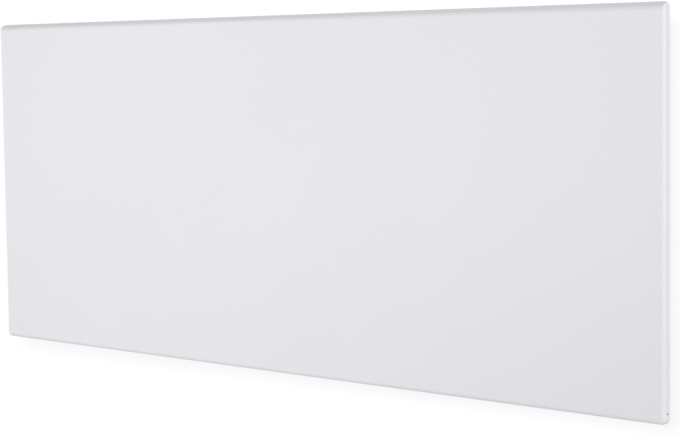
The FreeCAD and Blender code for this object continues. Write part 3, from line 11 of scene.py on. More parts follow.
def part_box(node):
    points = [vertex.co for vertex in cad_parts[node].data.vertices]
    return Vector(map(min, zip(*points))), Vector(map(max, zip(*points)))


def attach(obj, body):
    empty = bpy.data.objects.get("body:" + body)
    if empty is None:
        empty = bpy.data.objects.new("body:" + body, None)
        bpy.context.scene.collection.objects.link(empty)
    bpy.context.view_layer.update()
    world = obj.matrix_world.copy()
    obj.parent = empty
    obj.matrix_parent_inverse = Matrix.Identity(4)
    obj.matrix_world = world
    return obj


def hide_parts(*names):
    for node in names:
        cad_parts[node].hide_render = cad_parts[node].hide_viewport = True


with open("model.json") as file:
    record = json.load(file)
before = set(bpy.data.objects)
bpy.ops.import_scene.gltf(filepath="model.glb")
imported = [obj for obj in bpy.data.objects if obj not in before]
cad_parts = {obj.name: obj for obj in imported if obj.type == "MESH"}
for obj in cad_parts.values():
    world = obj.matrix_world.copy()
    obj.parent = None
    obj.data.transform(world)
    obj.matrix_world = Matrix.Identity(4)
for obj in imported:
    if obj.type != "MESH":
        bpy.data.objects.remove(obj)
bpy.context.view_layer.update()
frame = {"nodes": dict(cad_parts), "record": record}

bl_info = {
    "name": "Wall Convector Heater",
    "version": (1, 0, 0),
    "blender": (4, 5, 0),
    "location": "View3D > Sidebar > Heater",
    "description": "Dresses the packed wall convector heater and sets up its studio",
    "category": "Object",
}

PANEL_LOW, PANEL_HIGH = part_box("front_panel")
COVER_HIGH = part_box("rear_cover")[1]
MM = 0.001
X, Z = 0, 2
MIDDLE = (0.0, 0.0, 0.0)
WHITE = (1.0, 1.0, 1.0, 1.0)

# Limits and steps of the meshes
SAME_POINT = 0.001 * MM
SLIVER = 0.05 * MM * MM
FLAT_ANGLE = math.radians(0.5)
SHARP_ANGLE = math.radians(35.0)
SIDE_STEPS = 24
EDGE_STEPS = 3
FOLD_STEPS = 4
RING_STEPS = 32
HOLE_STEPS = 32
GRIP_STEPS = 12

# Front panel: the guard keeps the shading of flat faces off the bends beside them, the lip's mouth lies
# LIP_REACH inside the rear cover's box, and PLAIN_TURN is the share of a top corner's turn, from the side,
# that the shoulder doesn't reach
EDGE_GUARD = 0.2 * MM
LIP_REACH = Vector((24.8 * MM, 11.8 * MM))
LIP_CORNER = 5.2 * MM
LEAST_CORNER = 2.6 * MM
PLAIN_TURN = 2 / 7

# Roundings of the other pieces' edges
COVER_EDGE = 0.25 * MM
GRILLE_EDGE = 0.35 * MM
BUFFER_EDGE = 0.5 * MM
FASCIA_EDGE = 0.3 * MM
FRAME_EDGE = 0.35 * MM
ROCKER_EDGE = 0.4 * MM
WINDOW_EDGE = 0.15 * MM
LIGHT_EDGE = 0.3 * MM
GLAND_EDGE = 0.5 * MM
BRACKET_EDGE = 0.2 * MM
LEVER_EDGE = 0.35 * MM
RIVET_EDGE = 0.45 * MM

# Rear cover's beads
BEAD_RISE = 1.5 * MM
BEAD_CROWN = 1.0 * MM
BEAD_FOOT = 0.45 * MM

# Wall bracket and the grip ribs of its lock levers
BRACKET_SHEET = 1.5 * MM
BRACKET_FOLD = 2.4 * MM
FOLD_END = 3.0 * MM
UPRIGHT_HOLES = (-120.0 * MM, 33.0 * MM, 47.0 * MM, 120.0 * MM)
GRIP_COUNT = 4
GRIP_RISE = 4.5 * MM
GRIP_PITCH = 3.0 * MM
GRIP_HALF = Vector((3.6 * MM, 0.5 * MM, 0.7 * MM))

# Signs on the buttons, marks on the rocker and figures on the display
SIGN_ARM = 1.94 * MM
SIGN_HALF_WIDTH = 0.36 * MM
SIGN_RISE = 0.22 * MM
SIGN_DEPTH = 0.9 * SIGN_RISE
ROCKER_MARK_X = 4.6 * MM
ROCKER_MARK_RADIUS = 1.5 * MM
ROCKER_MARK_RISE = 0.04 * MM
MARK_DEPTH = 0.12 * MM
SHOWN_FIGURES = "21"
FIGURE_HALF = Vector((1.3 * MM, 2.4 * MM))
FIGURE_PITCH = 4.4 * MM
FIGURE_STROKE = 0.32 * MM
FIGURE_RISE = 0.14 * MM
FIGURE_GAP = 0.07
DEGREE_RADIUS = 2 * FIGURE_STROKE
FIGURE_BARS = {
    "top": ((-1, 1), (1, 1)),
    "upper_left": ((-1, 1), (-1, 0)),
    "upper_right": ((1, 1), (1, 0)),
    "middle": ((-1, 0), (1, 0)),
    "lower_left": ((-1, 0), (-1, -1)),
    "lower_right": ((1, 0), (1, -1)),
    "bottom": ((-1, -1), (1, -1)),
}
FIGURE_SHAPES = {
    "1": ("upper_right", "lower_right"),
    "2": ("top", "upper_right", "middle", "lower_left", "bottom"),
}

# Studio, in metres, with the camera's sensor in millimetres. Each lamp has its place, its aim and its size,
# and the studio's settings hold its power under the same name
WALL_SIZE = (40.0, 12.0)
WALL_BACK = 0.6 * MM
WALL_TONE = (0.06, 0.06, 0.06)
WALL_CLOUD = 0.01
WALL_GLOW = 0.872
FLOOR_SIZE = (40.0, 40.0)
FLOOR_DROP = 0.5
FLOOR_TONE = (0.30, 0.30, 0.30)
FLOOR_CLOUD = 0.02
FLOOR_GLOW = 0.58
SHEET_STEPS = 8
SENSOR_WIDTH = 36.0
REAR_PLACE = (-1.4, 1.6, 0.70)
LAMPS = {
    "left_light": ((-2.68, -0.72, -0.10), MIDDLE, 1.6),
    "front_light": ((-0.20, -1.22, 0.12), (-0.18, 0.0, 0.03), 0.9),
    "right_light": ((2.70, -0.60, 0.26), MIDDLE, 1.6),
    "low_light": ((-0.10, -0.30, -1.70), MIDDLE, 1.0),
    "high_light": ((0.90, -0.10, 0.90), (0.40, -0.05, 0.20), 0.4),
    "rear_light": (REAR_PLACE, MIDDLE, 1.6),
    "rear_gleam": (REAR_PLACE, MIDDLE, 1.6),
    "wall_light": ((1.5, -2.72, 0.88), MIDDLE, 1.3),
}

# Lamps that glossy surfaces don't mirror
UNMIRRORED_LAMPS = ("rear_light",)


# Shader maths


class Wire:
    """An output socket of a material in the making. Arithmetic on it adds Math nodes."""

    def __init__(self, finish, socket):
        self.finish = finish
        self.socket = socket

    def sum_of(self, operation, *values):
        return self.finish.node("ShaderNodeMath", {"operation": operation}, dict(enumerate(values)))

    def __add__(self, other):
        return self.sum_of("ADD", self, other)

    __radd__ = __add__

    def __sub__(self, other):
        return self.sum_of("SUBTRACT", self, other)

    def __rsub__(self, other):
        return self.sum_of("SUBTRACT", other, self)

    def __mul__(self, other):
        return self.sum_of("MULTIPLY", self, other)

    __rmul__ = __mul__


class Graph:
    """A node tree in the making."""

    def __init__(self, owner, end):
        owner.use_nodes = True
        self.owner = owner
        self.tree = owner.node_tree
        self.tree.nodes.clear()
        self.target = self.tree.nodes.new(end)

    def find(self, sockets, key):
        if isinstance(key, int):
            return sockets[key]
        return next(s for s in sockets if key in (s.identifier, s.name))

    def node(self, kind, settings=None, values=None, out=0):
        """Adds one node: its settings first, then the numbers or links of its sockets."""
        made = self.tree.nodes.new(kind)
        for key, value in (settings or {}).items():
            if key == "stops":
                self.set_stops(made.color_ramp, value)
            else:
                setattr(made, key, value)
        for key, value in (values or {}).items():
            socket = self.find(made.inputs, key)
            if isinstance(value, Wire):
                self.tree.links.new(value.socket, socket)
            else:
                socket.default_value = value
        return Wire(self, self.find(made.outputs, out))

    def set_stops(self, ramp, stops):
        while len(ramp.elements) < len(stops):
            ramp.elements.new(1.0)
        for element, (at, level) in zip(ramp.elements, stops):
            element.position = at
            element.color = (level, level, level, 1.0)

    def end(self, shader):
        """Joins a shader to the output."""
        self.tree.links.new(shader.socket, self.target.inputs["Surface"])
        return self.owner


class Finish(Graph):
    """A material in the making, on the object's own coordinates."""

    def __init__(self, name):
        super().__init__(bpy.data.materials.new(name), "ShaderNodeOutputMaterial")
        self.place = self.node("ShaderNodeTexCoord", out="Object")

    def stretched(self, stretch):
        """The object's coordinates, scaled along each axis."""
        return self.node("ShaderNodeVectorMath", {"operation": "MULTIPLY"}, {0: self.place, 1: stretch})

    def noise(self, grain, detail=2.0, stretch=None):
        """Soft noise from 0 to 1 whose grain is a size in metres."""
        where = self.place if stretch is None else self.stretched(stretch)
        return self.node("ShaderNodeTexNoise", {}, {"Vector": where, "Scale": 1 / grain, "Detail": detail})

    def warped(self, grain, reach):
        """The object's coordinates, pushed about by noise of a grain and a reach in metres."""
        push = self.node("ShaderNodeTexNoise", {}, {"Vector": self.place, "Scale": 1 / grain}, "Color")
        return self.node("ShaderNodeVectorMath", {"operation": "MULTIPLY_ADD"},
                         {0: push, 1: (reach, reach, reach), 2: self.place})

    def cells(self, grain, where):
        """Crystal-like cells of a size in metres, each with its own random colour."""
        return self.node("ShaderNodeTexVoronoi", {}, {"Vector": where, "Scale": 1 / grain}, "Color")

    def ramp(self, value, *stops):
        return self.node("ShaderNodeValToRGB", {"stops": stops}, {"Fac": value})

    def grey(self, colour):
        return self.node("ShaderNodeRGBToBW", {}, {"Color": colour})

    def mix(self, share, first, second):
        """Colour that goes from first to second with share."""
        return self.node("ShaderNodeMix", {"data_type": "RGBA"},
                         {"Factor_Float": share, "A_Color": paint(first), "B_Color": paint(second)},
                         "Result_Color")

    def relief(self, height, depth):
        """Normal of a surface whose height from 0 to 1 stands for a depth in metres."""
        return self.node("ShaderNodeBump", {}, {"Height": height, "Distance": depth, "Strength": 1.0})

    def surface(self, **values):
        """Ends the material with a Principled shader; a double underscore stands for a space."""
        named = {key.replace("__", " "): value for key, value in values.items()}
        return self.end(self.node("ShaderNodeBsdfPrincipled", {}, named, "BSDF"))


def paint(colour):
    """A colour with its alpha, or a wire as it is."""
    if isinstance(colour, Wire):
        return colour
    return (*colour[:3], 1.0)


def shade(colour, share):
    """A colour made darker or lighter by a share."""
    return tuple(min(1.0, c * share) for c in colour[:3])


# Finishes


def powder_coat(name, colour, gloss, peel):
    """Baked powder paint: a faint orange peel and slow drifts of tone."""
    f = Finish(name)
    drift = f.noise(0.16, 1.0)
    fine = f.noise(0.0011, 2.0)
    wave = f.noise(0.0034, 1.0)
    base = f.mix(drift, shade(colour, 0.985), shade(colour, 1.012))
    return f.surface(Base__Color=base, Roughness=gloss + 0.07 * fine + 0.05 * drift,
                     Normal=f.relief(wave + 0.35 * fine, peel), IOR=1.5)


def galvanised(name, colour, spangle, roughness):
    """Hot-dip zinc: a feathered spangle of crystals with their own brightness, and fine rolling lines."""
    f = Finish(name)
    feathered = f.warped(spangle * 0.5, spangle * 0.45)
    crystal = f.grey(f.cells(spangle, feathered))
    small = f.noise(spangle * 0.15, 3.0)
    rolled = f.noise(0.0012, 2.0, (0.06, 1.0, 1.0))
    cloud = f.noise(0.07, 2.0)
    tone = 0.4 * crystal + 0.3 * small + 0.3 * cloud
    base = f.mix(tone, shade(colour, 0.84), shade(colour, 1.1))
    rough = roughness + 0.14 * crystal + 0.1 * rolled - 0.08
    return f.surface(Base__Color=base, Roughness=rough, Metallic=1.0,
                     Normal=f.relief(0.6 * crystal + 0.4 * rolled, 0.000008))


def plated(name, colour, roughness):
    """Bright zinc plate on turned or stamped steel, a little cloudy."""
    f = Finish(name)
    cloud = f.noise(0.004, 3.0)
    turned = f.noise(0.0005, 2.0)
    base = f.mix(cloud, shade(colour, 0.82), shade(colour, 1.1))
    return f.surface(Base__Color=base, Roughness=roughness + 0.18 * cloud, Metallic=1.0,
                     Normal=f.relief(turned, 0.000008))


def rolled_metal(name, colour, roughness, along):
    """Mill-finish sheet or extrusion: long fine lines along one axis and a soft bloom."""
    f = Finish(name)
    stretch = tuple(0.03 if axis == along else 1.0 for axis in range(3))
    lines = f.noise(0.0006, 3.0, stretch)
    bloom = f.noise(0.03, 3.0)
    base = f.mix(0.6 * lines + 0.4 * bloom, shade(colour, 0.8), shade(colour, 1.1))
    return f.surface(Base__Color=base, Roughness=roughness + 0.22 * lines + 0.1 * bloom, Metallic=1.0,
                     Normal=f.relief(lines, 0.00001))


def scaled_rod(name, colour, tint):
    """Sheath steel that has run hot: straw and blue tints over drawn lines."""
    f = Finish(name)
    patch = f.ramp(f.noise(0.045, 3.0), (0.35, 0.0), (0.7, 1.0))
    lines = f.noise(0.0004, 2.0, (0.02, 1.0, 1.0))
    base = f.mix(lines, f.mix(patch, colour, tint), shade(colour, 1.25))
    return f.surface(Base__Color=base, Roughness=0.32 + 0.2 * lines + 0.1 * patch, Metallic=1.0,
                     Normal=f.relief(lines, 0.000008))


def moulded(name, colour, roughness, spark, weave=0.03):
    """Injection-moulded plastic: a spark-eroded grain and a slight flow of tone."""
    f = Finish(name)
    grain = f.noise(spark, 2.0)
    flow = f.noise(0.02, 2.0)
    base = f.mix(0.7 * flow + 0.3 * grain, shade(colour, 1 - weave), shade(colour, 1 + weave))
    return f.surface(Base__Color=base, Roughness=roughness + 0.14 * grain + 0.05 * flow,
                     Normal=f.relief(grain, spark * 0.03), IOR=1.5)


def fired(name, colour, speck):
    """Steatite: off-white, with fine grog specks and a dry glaze."""
    f = Finish(name)
    dots = f.ramp(f.noise(0.0007, 1.0), (0.64, 0.0), (0.7, 1.0))
    cloud = f.noise(0.012, 3.0)
    base = f.mix(dots, f.mix(cloud, shade(colour, 0.93), colour), speck)
    return f.surface(Base__Color=base, Roughness=0.42 + 0.2 * cloud + 0.15 * dots,
                     Normal=f.relief(cloud + 0.5 * dots, 0.00002))


def mottled(name, colour, fleck):
    """Pressed phenolic: dark, with wood-flour flecks and a dull gloss."""
    f = Finish(name)
    flakes = f.ramp(f.noise(0.0012, 3.0, (1.0, 0.5, 1.0)), (0.52, 0.0), (0.72, 1.0))
    pores = f.noise(0.0003, 2.0)
    return f.surface(Base__Color=f.mix(flakes, colour, fleck), Roughness=0.36 + 0.2 * pores,
                     Normal=f.relief(pores, 0.00001))


def rubber(name, colour):
    """Matt rubber with a bloom and a fine moulded grain."""
    f = Finish(name)
    bloom = f.noise(0.008, 3.0)
    grain = f.noise(0.0005, 2.0)
    return f.surface(Base__Color=f.mix(bloom, shade(colour, 0.75), shade(colour, 1.3)),
                     Roughness=0.7 + 0.2 * grain, Normal=f.relief(grain, 0.00003))


def sleeve(name, colour, stripe=None):
    """Silicone-rubber lead sleeve, with a stripe wound round it where it has one."""
    f = Finish(name)
    dust = f.noise(0.003, 3.0)
    drawn = f.noise(0.0004, 1.0)
    base = f.mix(dust, shade(colour, 0.85), shade(colour, 1.1))
    if stripe is not None:
        bands = f.node("ShaderNodeTexWave", {"bands_direction": "DIAGONAL"},
                       {"Vector": f.place, "Scale": 95.0, "Distortion": 0.0})
        base = f.mix(f.ramp(bands, (0.46, 0.0), (0.54, 1.0)), base, stripe)
    return f.surface(Base__Color=base, Roughness=0.45 + 0.2 * drawn + 0.1 * dust,
                     Normal=f.relief(drawn, 0.000012))


def solder_mask(name, colour, copper):
    """Circuit board: tracks under green lacquer and a fine glass weave."""
    f = Finish(name)
    tracks = f.node("ShaderNodeTexBrick", {"offset": 0.37, "squash": 0.6, "squash_frequency": 3},
                    {"Vector": f.place, "Scale": 150.0, "Mortar Size": 0.05, "Mortar Smooth": 0.0,
                     "Brick Width": 0.9, "Row Height": 0.3}, "Fac")
    weave = f.noise(0.0006, 1.0, (1.0, 0.25, 1.0))
    base = f.mix(tracks, f.mix(weave, shade(colour, 0.85), shade(colour, 1.1)), copper)
    return f.surface(Base__Color=base, Roughness=0.28 + 0.15 * weave, Coat__Weight=0.3,
                     Normal=f.relief(tracks + 0.1 * weave, 0.00004))


def smoked(name, colour):
    """Smoked clear plastic with a hard gloss and faint rub marks."""
    f = Finish(name)
    rub = f.noise(0.0006, 3.0, (0.2, 1.0, 1.0))
    tint = f.mix(f.noise(0.01), shade(colour, 0.9), colour)
    return f.surface(Base__Color=tint, Roughness=0.04 + 0.06 * rub, Transmission__Weight=0.85, IOR=1.49)


def lens(name, colour, glow):
    """Coloured light lens with a soft inner glow."""
    f = Finish(name)
    core = f.noise(0.0012, 1.0)
    return f.surface(Base__Color=f.mix(core, shade(colour, 0.7), colour), Roughness=0.12 + 0.1 * core,
                     Emission__Color=f.mix(core, shade(colour, 0.6), colour), Emission__Strength=glow)


def backdrop(name, colour, drop, glow):
    """Plain pale studio surface, clear when seen from behind."""
    f = Finish(name)
    cloud = f.noise(0.4, 2.0)
    lit = f.node("ShaderNodeBsdfPrincipled", {}, {
        "Base Color": f.mix(cloud, shade(colour, 1 - drop), colour), "Roughness": 0.9,
        "Specular IOR Level": 0.0, "Emission Color": WHITE, "Emission Strength": glow}, "BSDF")
    behind = f.node("ShaderNodeNewGeometry", out="Backfacing")
    clear = f.node("ShaderNodeBsdfTransparent", out="BSDF")
    return f.end(f.node("ShaderNodeMixShader", {}, {0: behind, 1: lit, 2: clear}, "Shader"))


def studio_sky(name, light, seen):
    """Even light from all round, which the camera sees as a pale backdrop."""
    sky = Graph(bpy.data.worlds.new(name), "ShaderNodeOutputWorld")
    direct = sky.node("ShaderNodeLightPath", out="Is Camera Ray")
    strength = light + (seen - light) * direct
    light_node = sky.node("ShaderNodeBackground", {}, {"Color": WHITE, "Strength": strength}, "Background")
    return sky.end(light_node)


def dress(material, *nodes):
    """Gives CAD nodes a material."""
    for name in nodes:
        slots = frame["nodes"][name].data.materials
        slots.clear()
        slots.append(material)


# Mesh helpers


def outline(half_x, half_z, corner, size, inset=(0.0, 0.0)):
    """Rounded rectangle about the origin, as (point, lift) rows going round from the right side, drawn in
    by one inset at the sides and bottom and by another at the top.
    lift is 1 along the top side and 0 along the others. On a top corner it stays 0 for the share
    PLAIN_TURN of the turn and then rises smoothly."""
    arcs = []
    for number, (way_x, way_z) in enumerate(((1, 1), (-1, 1), (-1, -1), (1, -1))):
        drawn = Vector((inset[0], inset[1] if way_z > 0 else inset[0]))
        radii = Vector(max(corner - reach, LEAST_CORNER) for reach in drawn)
        reach_x, reach_z = Vector((half_x, half_z)) - drawn - radii
        middle = Vector((reach_x * way_x, reach_z * way_z))
        arc = []
        for step in range(size.arc_steps + 1):
            share = step / size.arc_steps
            angle = math.radians(90) * (number + share)
            along_top = (share, 1 - share, 0, 0)[number]
            rise = max(0.0, (along_top - PLAIN_TURN) / (1 - PLAIN_TURN))
            point = middle + Vector((radii.x * math.cos(angle), radii.y * math.sin(angle)))
            arc.append((point, rise * rise * (3 - 2 * rise)))
        arcs.append(arc)
    rows = []
    for arc, after in zip(arcs, arcs[1:] + arcs[:1]):
        rows += arc
        begin, lift = arc[-1]
        rows += [(begin.lerp(after[0][0], step / SIDE_STEPS), lift) for step in range(1, SIDE_STEPS)]
    return rows


def ring_of(mesh, rows, depth):
    """One closed ring of vertices; depth gives how deep it lies for a row's lift."""
    return [mesh.verts.new((point.x, depth(lift), point.y)) for point, lift in rows]


def quarter(radius, steps):
    """Quarter round from a face to a side, as (inward, depth) pairs."""
    turns = [math.radians(90) * step / steps for step in range(steps + 1)]
    return [(radius * (1 - math.sin(turn)), radius * (1 - math.cos(turn))) for turn in turns]


def turned_in(radius, steps):
    """Quarter round from a side to the back, as (inward, distance left to the back) pairs."""
    turns = [math.radians(90) * step / steps for step in range(steps + 1)]
    return [(radius * (1 - math.cos(turn)), radius * (1 - math.sin(turn))) for turn in turns]


def shoulder(size, inset):
    """Bend, slope and crest of the panel's top, as (inward, depth) pairs from the skin at that inset."""
    slope = math.hypot(size.shoulder_drop, size.shoulder_depth)
    tilt = math.atan2(size.shoulder_depth, size.shoulder_drop)
    steep = math.radians(90) - tilt
    reach = size.shoulder_drop * size.shoulder_depth + inset * slope
    drop = (reach - size.shoulder_drop * inset) / size.shoulder_depth - inset
    depth = (reach - size.shoulder_depth * inset) / size.shoulder_drop - inset
    bend = size.shoulder_bend - inset
    crest = size.shoulder_crest - inset
    foot = drop + bend * math.tan(tilt / 2)
    ridge = depth + crest * math.tan(steep / 2)
    low = [tilt * step / size.bend_steps for step in range(size.bend_steps + 1)]
    high = [tilt + steep * step / (size.bend_steps - 1) for step in range(size.bend_steps)]
    pairs = [(foot - bend * math.sin(turn), bend * (1 - math.cos(turn))) for turn in low]
    return pairs + [(crest * (1 - math.sin(turn)), ridge - crest * math.cos(turn)) for turn in high]


def drill(piece, holes):
    """Cuts round holes along X through a piece; each is a place and a radius."""
    mesh = bmesh.new()
    for place, radius in holes:
        turn = Matrix.Translation(place) @ Matrix.Rotation(math.radians(90), 4, "Y")
        bmesh.ops.create_cone(mesh, cap_ends=True, segments=HOLE_STEPS, radius1=radius, radius2=radius,
                              depth=4 * radius, matrix=turn)
    data = bpy.data.meshes.new("drill")
    mesh.to_mesh(data)
    mesh.free()
    bit = bpy.data.objects.new("drill", data)
    bpy.context.scene.collection.objects.link(bit)
    cut = piece.modifiers.new("holes", "BOOLEAN")
    cut.object = bit
    cut.solver = "EXACT"
    settle(piece)
    bpy.data.objects.remove(bit)
    smooth(piece.data)


def settle(piece):
    """Applies a piece's modifiers to its mesh."""
    graph = bpy.context.evaluated_depsgraph_get()
    made = bpy.data.meshes.new_from_object(piece.evaluated_get(graph))
    piece.modifiers.clear()
    made.name = piece.data.name
    piece.data = made


def bridge(mesh, first, second):
    """Quads between two rings of the same length."""
    count = len(first)
    for index in range(count):
        after = (index + 1) % count
        mesh.faces.new((first[index], first[after], second[after], second[index]))


def smooth(data):
    """Smooth shading, with the sharp edges kept."""
    for face in data.polygons:
        face.use_smooth = True
    data.set_sharp_from_angle(angle=SHARP_ANGLE)


def finish_mesh(mesh, name, body, material):
    """Turns a bmesh into a smooth-shaded piece that rides on a body."""
    bmesh.ops.recalc_face_normals(mesh, faces=mesh.faces)
    data = bpy.data.meshes.new(name)
    mesh.to_mesh(data)
    mesh.free()
    smooth(data)
    data.materials.append(material)
    piece = bpy.data.objects.new(name, data)
    bpy.context.scene.collection.objects.link(piece)
    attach(piece, body)
    return piece


def body_of(node):
    """Name of the CAD body that carries a node."""
    bodies = frame["record"]["behaviour"]["bodies"]
    return next(body for body, members in bodies.items() if node in members)


def score(mesh, axis, places):
    """Cuts a mesh's faces across an axis at some places and marks the cuts, so that they are kept."""
    for place in places:
        across = Vector(float(number == axis) for number in range(3))
        cut = bmesh.ops.bisect_plane(mesh, geom=[*mesh.verts, *mesh.edges, *mesh.faces],
                                     plane_co=across * place, plane_no=across)
        for part in cut["geom_cut"]:
            if isinstance(part, bmesh.types.BMEdge):
                part.seam = True


def bend(mesh, edges, radius, steps):
    """Rounds edges to a radius."""
    bmesh.ops.bevel(mesh, geom=edges, offset=radius, offset_type="OFFSET", segments=steps, profile=0.5,
                    affect="EDGES", clamp_overlap=False)


def rounded(node, material, width, folds=(), along=None, holes=()):
    """A CAD node's shape with its sharp edges rounded, which stands for the node.
    folds are pairs of a test and a radius: the sharp edges that pass a test are bent to its radius first.
    A long folded sheet gives the axis that it runs along and the places of its holes along that axis."""
    low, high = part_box(node)
    mesh = bmesh.new()
    mesh.from_mesh(frame["nodes"][node].data)
    bmesh.ops.remove_doubles(mesh, verts=mesh.verts, dist=SAME_POINT)
    if along is not None:
        score(mesh, along, (low[along] + FOLD_END, *holes, high[along] - FOLD_END))
    bmesh.ops.dissolve_limit(mesh, angle_limit=FLAT_ANGLE, verts=mesh.verts, edges=mesh.edges,
                             delimit={"SEAM"})
    for chosen, radius in folds:
        bend(mesh, [edge for edge in mesh.edges if is_sharp(edge) and chosen(edge)], radius, FOLD_STEPS)
    bend(mesh, [edge for edge in mesh.edges if is_sharp(edge)], width, EDGE_STEPS)
    for vert in mesh.verts:
        vert.co = [min(max(value, least), most) for value, least, most in zip(vert.co, low, high)]
    piece = finish_mesh(mesh, f"{node}_rounded", body_of(node), material)
    piece.modifiers.new("flat_faces", "WEIGHTED_NORMAL").keep_sharp = True
    settle(piece)
    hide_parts(node)


def is_sharp(edge):
    """True for an edge where two faces meet at an angle and neither is a sliver."""
    smallest = min(face.calc_area() for face in edge.link_faces)
    return edge.calc_face_angle(0.0) > SHARP_ANGLE and smallest > SLIVER


def runs_along(edge, axis):
    """True for an edge along an axis that is at least as long as FOLD_END."""
    span = edge.verts[1].co - edge.verts[0].co
    return abs(span[axis]) > FOLD_END - SAME_POINT and span.length - abs(span[axis]) < SAME_POINT


def lies_at(edge, depth):
    """True for an edge in the upright plane at a depth."""
    return all(abs(vert.co.y - depth) < SAME_POINT for vert in edge.verts)


def bar(start, end, half_width, tip):
    """Outline of a bar between two points, with pointed ends of a length."""
    start, end = Vector(start), Vector(end)
    along = (end - start).normalized()
    across = Vector((-along.y, along.x)) * half_width
    first, last = start + along * tip, end - along * tip
    ring = [first + across, start, first - across, last - across, end, last + across]
    return ring if tip else [first + across, first - across, last - across, last + across]


def hoop(middle, radius, half_width):
    """Quads of a flat ring."""
    turns = [math.tau * step / RING_STEPS for step in range(RING_STEPS + 1)]
    ways = [Vector((math.cos(turn), math.sin(turn))) for turn in turns]
    inner = [Vector(middle) + way * (radius - half_width) for way in ways]
    outer = [Vector(middle) + way * (radius + half_width) for way in ways]
    return [[inner[i], outer[i], outer[i + 1], inner[i + 1]] for i in range(RING_STEPS)]


def cross(arm, half_width):
    """Outline of a plus sign."""
    quarter_ring = ((arm, -half_width), (arm, half_width), (half_width, half_width))
    turns = [Matrix.Rotation(math.radians(90) * number, 2) for number in range(4)]
    return [turn @ Vector(place) for turn in turns for place in quarter_ring]


def surface_of(node):
    """Tree that finds where a ray meets a CAD node."""
    solid = bmesh.new()
    solid.from_mesh(frame["nodes"][node].data)
    tree = BVHTree.FromBMesh(solid)
    solid.free()
    return tree


def inlay(name, node, material, shapes, rise, depth):
    """Thin marks laid on the top of a CAD node, with their faces a rise above it and a depth thick.
    shapes are flat outlines about the node's middle."""
    tree = surface_of(node)
    low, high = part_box(node)
    middle = (low + high) / 2
    mesh = bmesh.new()
    for shape in shapes:
        ring = []
        for flat in shape:
            above = Vector((middle.x + flat[0], middle.y + flat[1], high.z + rise))
            place = tree.ray_cast(above, Vector((0.0, 0.0, -1.0)))[0]
            ring.append(mesh.verts.new(place + Vector((0.0, 0.0, rise))))
        mesh.faces.new(ring)
    bmesh.ops.remove_doubles(mesh, verts=mesh.verts, dist=SAME_POINT)
    bmesh.ops.recalc_face_normals(mesh, faces=mesh.faces)
    down = [face for face in mesh.faces if face.normal.z < 0]
    bmesh.ops.reverse_faces(mesh, faces=down)
    bmesh.ops.solidify(mesh, geom=mesh.faces[:], thickness=depth)
    finish_mesh(mesh, name, body_of(node), material)


# Sizes and colours


class HEATER_PG_panel(bpy.types.PropertyGroup):
    corner_radius: FloatProperty(name="Corner Radius", default=5.5 * MM, unit="LENGTH",
                                 description="Radius of the panel's corners from the front")
    edge_radius: FloatProperty(name="Edge Radius", default=4.5 * MM, unit="LENGTH",
                               description="Rounding of the front edge at the sides and bottom")
    shoulder_drop: FloatProperty(name="Shoulder Drop", default=5.2 * MM, unit="LENGTH",
                                 description="Fall of the sloped shoulder along the top")
    shoulder_depth: FloatProperty(name="Shoulder Depth", default=8.0 * MM, unit="LENGTH",
                                  description="Run of the shoulder from front to back")
    shoulder_bend: FloatProperty(name="Shoulder Bend", default=6.0 * MM, unit="LENGTH",
                                 description="Rounding at the shoulder's foot")
    shoulder_crest: FloatProperty(name="Shoulder Crest", default=3.0 * MM, unit="LENGTH",
                                  description="Rounding at the shoulder's crest")
    return_radius: FloatProperty(name="Return Radius", default=1.8 * MM, unit="LENGTH",
                                 description="Rounding where the return turns in behind")
    sheet: FloatProperty(name="Sheet", default=1.2 * MM, unit="LENGTH",
                         description="Thickness of the panel's sheet")
    hole_radius: FloatProperty(name="Hole Radius", default=1.1 * MM, unit="LENGTH",
                               description="Radius of the coating-line holes in the sides")
    hole_place: FloatVectorProperty(name="Hole Place", default=(-49.1 * MM, -189.6 * MM), size=2,
                                    unit="LENGTH", description="Depth and height of the coating-line holes")
    bend_steps: IntProperty(name="Bend Steps", default=14, min=3,
                            description="Faces across the bend of a rounding")
    arc_steps: IntProperty(name="Corner Steps", default=20, min=3, description="Faces round each corner")


class HEATER_PG_colours(bpy.types.PropertyGroup):
    panel: FloatVectorProperty(name="Panel", default=(0.798, 0.793, 0.835), subtype="COLOR",
                               description="Powder paint of the front panel")
    cover: FloatVectorProperty(name="Rear Cover", default=(0.78, 0.78, 0.81), subtype="COLOR",
                               description="Powder paint of the rear cover")
    grille: FloatVectorProperty(name="Grilles", default=(0.77, 0.77, 0.80), subtype="COLOR",
                                description="Paint of the air grilles")
    zinc: FloatVectorProperty(name="Zinc", default=(0.62, 0.64, 0.66), subtype="COLOR",
                              description="Galvanised sheet")
    plastic: FloatVectorProperty(name="White Plastic", default=(0.78, 0.78, 0.80), subtype="COLOR",
                                 description="Fascia and the rocker's marks")


